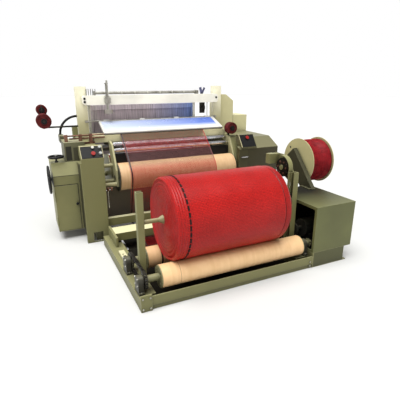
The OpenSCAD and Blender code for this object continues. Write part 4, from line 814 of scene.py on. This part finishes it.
# Painted shade: the recess is painted near-black for the shade in it, and the rib a darker olive.
recess = (-1062, 1080, 850), (-1004, 1092, 1000)
rib = (-985, 1080, 850), (-905, 1092, 985)
dress(enamel("picking_enamel", "#615f46", "#b8b28c", 0.5, 0.4,
             patches=[(*recess, "#25231a", 0.95), (*rib, "#3b3929", 0.9)]), "picking_box")
dress(copper, "weft_rods")
dress(greasy_iron, "package_holders")
bars("weft_lever", enamel("dark_red_enamel", "#4d1d18", "#7d4a3c"), "machine", "red_plastic",
     ((-866, 1158, 1016), (-744, 1158, 1016), 20, 16, front))


def tube_mesh(name, path, radius, sides=20):
    """A closed tube along points in millimetres; radius is a function of the place along it."""
    rows, run = [], 0.0
    angles = [2 * math.pi * j / sides for j in range(sides)]
    for i, point in enumerate(path):
        ahead = (Vector(path[min(i + 1, len(path) - 1)]) - Vector(path[max(i - 1, 0)])).normalized()
        turn = ahead.to_track_quat("Z", "Y")
        run += (Vector(point) - Vector(path[i - 1])).length if i else 0.0
        r = radius(run)
        rows.append([Vector(point) + turn @ Vector((r * math.cos(a), r * math.sin(a), 0)) for a in angles])
    ends = [[Vector(path[k])] * sides for k in (0, -1)]
    return outward(grid_mesh(name, [ends[0]] + rows + [ends[1]], closed=True))


hose_r, bend_r, hose_rib = 14.0, 200.0, 9.0


def hose_radius(run):
    return hose_r - 0.6 - 0.6 * math.cos(2 * math.pi * run / hose_rib)


hose_path = [(-860 + bend_r * math.cos(a), 1522.0, 1075 + bend_r * math.sin(a))
             for a in np.radians(np.linspace(180, 90, 140))]
hose_mesh = tube_mesh("hose_ribbed", hose_path, hose_radius)
hose = make("hose_ribbed", hose_mesh, black, "machine", 60)
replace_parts(hose, "cable_hose")


def joined(name, *meshes):
    bm = bmesh.new()
    for mesh in meshes:
        bm.from_mesh(mesh)
    whole = bpy.data.meshes.new(name)
    bm.to_mesh(whole)
    bm.free()
    return whole


def package_mesh(name, start, length, r, core):
    """A wound package: rings of yarn on its front face, a waved side and a plain back."""
    rings = [(4 * math.sin((r - s) / 5) ** 2 * (1 if s < r - 6 else 0), s)
             for s in np.linspace(core, r - 2, 22)]
    side = [(8 + (length - 16) * t, r - 1.5 * math.sin(t * 12) ** 2) for t in np.linspace(0, 1, 24)]
    back = [(length, r - 6), (length, core)]
    return turned_mesh(name, rings + [(3, r - 1)] + side + back, start, (0, 1, 0))


packages = [((-1225, 1328, 1245), 150, 75.5, 14), ((-1225, 1502, 1350), 146, 55.5, 14),
            ((910, 1001, 1101), 92, 69.5, 14)]
dark_red_yarn = yarn("dark_red_yarn", "#371112", "#742a29")
package_meshes = [package_mesh(f"package_{i}", *p) for i, p in enumerate(packages)]
wound_packages = make("yarn_packages_wound", joined("yarn_packages_wound", *package_meshes), dark_red_yarn,
                      "machine", 50)
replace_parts(wound_packages, "yarn_packages")
along_y, end_in, turn_pitch = (math.radians(-90), 0.0, 0.0), 7, 7.0
for i, ((x, y, z), length, r, core) in enumerate(packages):
    grow(f"package_turns_{i}", winding,
         {"Turns": length / turn_pitch, "Radius": r / 1000, "Length": (length - 2 * end_in) / 1000,
          "Yarn radius": 0.0022, "Turn": along_y, "Material": dark_red_yarn},
         "machine", "red_yarn", [(x, y + end_in, z)])
tube_profile = [(-7, 12.6), (-7, 29), (2, 31), (2, 12.6)]
tubes = [turned_mesh(f"tube_{i}", tube_profile, p[0], (0, 1, 0), 40) for i, p in enumerate(packages)]
make("package_tubes", joined("package_tubes", *tubes), black, "machine")

# Net web: open red net drawn over the breast beam, round the guide and take-up rollers and down to the
# winder, stretched across its width; a dark yarn runs beside its left edge and a red one along the right.

net_gap = 1.4
web_wheels = [(1198.0, 1070.0, 20.0, 1), (1111.0, 985.0, 26.0, 1), (1046.0, 930.0, 22.0, 1),
              (948.0, 652.0, 150.0, 1), (928.0, 131.0, 25.0, -1)]
rear_wheel = (rear_y, roller_z, roller_r, -1)


def tangent(a, b):
    """Angle of the normal to the line from wheel a to wheel b; a wheel is (y, z, radius, turn)."""
    across, up = b[0] - a[0], b[1] - a[1]
    lean = (b[3] * (b[2] + net_gap) - a[3] * (a[2] + net_gap)) / math.hypot(across, up)
    return math.atan2(up, across) + math.acos(lean)


def round_wheel(wheel, first, last):
    """Points on the net's line round a wheel between two angles, the way that the wheel turns."""
    y, z, radius, way = wheel
    turn = (way * (last - first)) % (2 * math.pi)
    turn = 0.0 if turn > math.radians(300) else way * turn
    steps = max(2, math.ceil(abs(math.degrees(turn)) / 4) + 1)
    angles = [first + turn * t for t in np.linspace(0, 1, steps)]
    return [(y + (radius + net_gap) * math.cos(a), z + (radius + net_gap) * math.sin(a)) for a in angles]


web_line, meets = [(fell_y, warp_z)], math.radians(90)
for wheel, after in zip(web_wheels, web_wheels[1:] + [None]):
    leaves = math.radians(270) if after is None else tangent(wheel, after) + (math.pi if wheel[3] > 0 else 0)
    web_line += round_wheel(wheel, meets, leaves)
    meets = tangent(wheel, after) + (math.pi if after[3] > 0 else 0) if after else None
under = roller_z - roller_r - net_gap
moved_from = len(web_line) + 1
nip = math.atan2(roll_z - roller_z, roll_y - rear_y)
web_line += [(888.0, under), (rear_y + 40, under)]
web_line += round_wheel(rear_wheel, math.radians(270), nip + math.radians(17))
web_run = np.cumsum([0] + [math.dist(a, b) for a, b in zip(web_line, web_line[1:])])
net_width, shift, web_columns = mesh_rt - mesh_l, roll_x0 - mesh_l, 12
web_x = [mesh_l + net_width * t for t in np.linspace(0, 1, web_columns)]
web_rows = [[(x + (shift if i >= moved_from else 0), y, z) for x in web_x]
            for i, (y, z) in enumerate(web_line)]
web_mesh = grid_mesh("net_web", web_rows,
                     lambda i, j: (net_width * j / (web_columns - 1) / 1000, web_run[i] / 1000))

# Threads 6 mm apart each way: 0.3 mm wide on the beam, 0.8 mm over the guide rollers and 1.5 mm where
# the net closes up on the take-up roller, then 0.4 mm where it opens again below it. Where it hangs
# before the cover bar its threads are painted greyer, a painted sheen.
open_net, tree = material_tree("open_red_net")
where = add(tree, "ShaderNodeUVMap", uv_map="net")
across = add(tree, "ShaderNodeSeparateXYZ", {0: where}, out="X")
along = add(tree, "ShaderNodeSeparateXYZ", {0: where}, out="Y")
wide = 0.0003
for start, end, change in ((0.25, 0.3, 0.0005), (0.58, 0.66, 0.0007), (0.9, 1.1, -0.0011)):
    wider = add(tree, "ShaderNodeMapRange",
                {"Value": along, "From Min": start, "From Max": end, "To Max": change})
    wide = add(tree, "ShaderNodeMath", {0: wide, 1: wider}, operation="ADD")
cells = [add(tree, "ShaderNodeMath", {0: way, 1: 0.006}, operation="FLOORED_MODULO")
         for way in (across, along)]
holes = [add(tree, "ShaderNodeMath", {0: cell, 1: wide}, operation="GREATER_THAN") for cell in cells]
hole = add(tree, "ShaderNodeMath", {0: holes[0], 1: holes[1]}, operation="MULTIPLY")
dark_edge = add(tree, "ShaderNodeMath", {0: across, 1: 0.017, 2: 0.007}, operation="COMPARE")
red_edge = add(tree, "ShaderNodeMath", {0: across, 1: net_width / 1000 - 0.008}, operation="GREATER_THAN")
edges = add(tree, "ShaderNodeMath", {0: dark_edge, 1: red_edge}, operation="MAXIMUM")
cover = add(tree, "ShaderNodeMath", {0: 1.0, 1: hole}, operation="SUBTRACT")
cover = add(tree, "ShaderNodeMath", {0: edges, 1: cover}, operation="MAXIMUM")
# Painted sheen: the threads turn grey where the net hangs before the cover bar.
greyer = add(tree, "ShaderNodeMapRange", {"Value": along, "From Min": 0.41, "From Max": 0.45})
redder = add(tree, "ShaderNodeMapRange",
             {"Value": along, "From Min": 0.58, "From Max": 0.64, "To Min": 1.0, "To Max": 0.0})
grey = add(tree, "ShaderNodeMath", {0: greyer, 1: redder}, operation="MULTIPLY")
tint = add(tree, "ShaderNodeMix", {"Factor": grey, "A": "#aa131d", "B": "#754544"}, data_type="RGBA")
tint = add(tree, "ShaderNodeMix", {"Factor": dark_edge, "A": tint, "B": "#150507"}, data_type="RGBA")
thread = add(tree, "ShaderNodeBsdfPrincipled", {"Base Color": tint, "Roughness": 0.45})
clear = add(tree, "ShaderNodeBsdfTransparent")
seen = add(tree, "ShaderNodeMixShader", {0: cover, 1: clear, 2: thread})
add(tree, "ShaderNodeOutputMaterial", {"Surface": seen})
web = make("net_web", web_mesh, open_net, "machine", 60)
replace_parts(web, "mesh_web")

# Floor, light and camera: a pale floor inside a white studio wall, a pale sky and a broad soft lamp above,
# seen from the photograph's place.

far, floor_drop = 60, -0.0005
floor_mesh = bpy.data.meshes.new("floor")
floor_corners = (-far, -far), (far, -far), (far, far), (-far, far)
floor_mesh.from_pydata([(x, y, floor_drop) for x, y in floor_corners], [], [(0, 1, 2, 3)])
floor_paint, tree = material_tree("pale_floor")
shader = add(tree, "ShaderNodeBsdfPrincipled",
             {"Base Color": "#c0c0be", "Roughness": 0.9, "Specular IOR Level": 0.1})
add(tree, "ShaderNodeOutputMaterial", {"Surface": shader})
floor_mesh.materials.append(floor_paint)
floor = bpy.data.objects.new("floor", floor_mesh)
wall_r, wall_foot, wall_top, wall_sides = 42000, -500, 20000, 64
wall_ways = np.linspace(0, 2 * math.pi, wall_sides, endpoint=False)
wall = [[(wall_r * math.cos(a), wall_r * math.sin(a), z) for a in wall_ways] for z in (wall_foot, wall_top)]
backdrop_mesh = grid_mesh("backdrop", wall, closed=True)
white_cloth, tree = material_tree("white_backdrop")
glow = add(tree, "ShaderNodeEmission", {"Color": "#ffffff", "Strength": 1.0})
add(tree, "ShaderNodeOutputMaterial", {"Surface": glow})
backdrop_mesh.materials.append(white_cloth)
backdrop = bpy.data.objects.new("backdrop", backdrop_mesh)
backdrop.visible_shadow = False
for stage in (floor, backdrop):
    bpy.context.scene.collection.objects.link(stage)

world = bpy.data.worlds.new("studio")
world.use_nodes = True
sky = world.node_tree.nodes["Background"].inputs
sky["Color"].default_value = linear("#ffffff")
sky["Strength"].default_value = 0.38
bpy.context.scene.world = world
light = bpy.data.lights.new("overhead", "SUN")
light.energy, light.angle = 5.0, math.radians(50)
lamp = bpy.data.objects.new("overhead", light)
lamp.rotation_euler = Vector((0.22, 0.16, -1.0)).to_track_quat("-Z", "Y").to_euler()
bpy.context.scene.collection.objects.link(lamp)

camera = bpy.data.objects.new("camera", bpy.data.cameras.new("camera"))
camera.location = (-1.447, -3.010, 1.650)
camera.rotation_euler = (math.radians(72.25), 0, math.radians(-25.48))
camera.data.lens, camera.data.sensor_width = 33.23, 36.0
bpy.context.scene.collection.objects.link(camera)
bpy.context.scene.camera = camera
bpy.context.scene.view_settings.view_transform = "Standard"
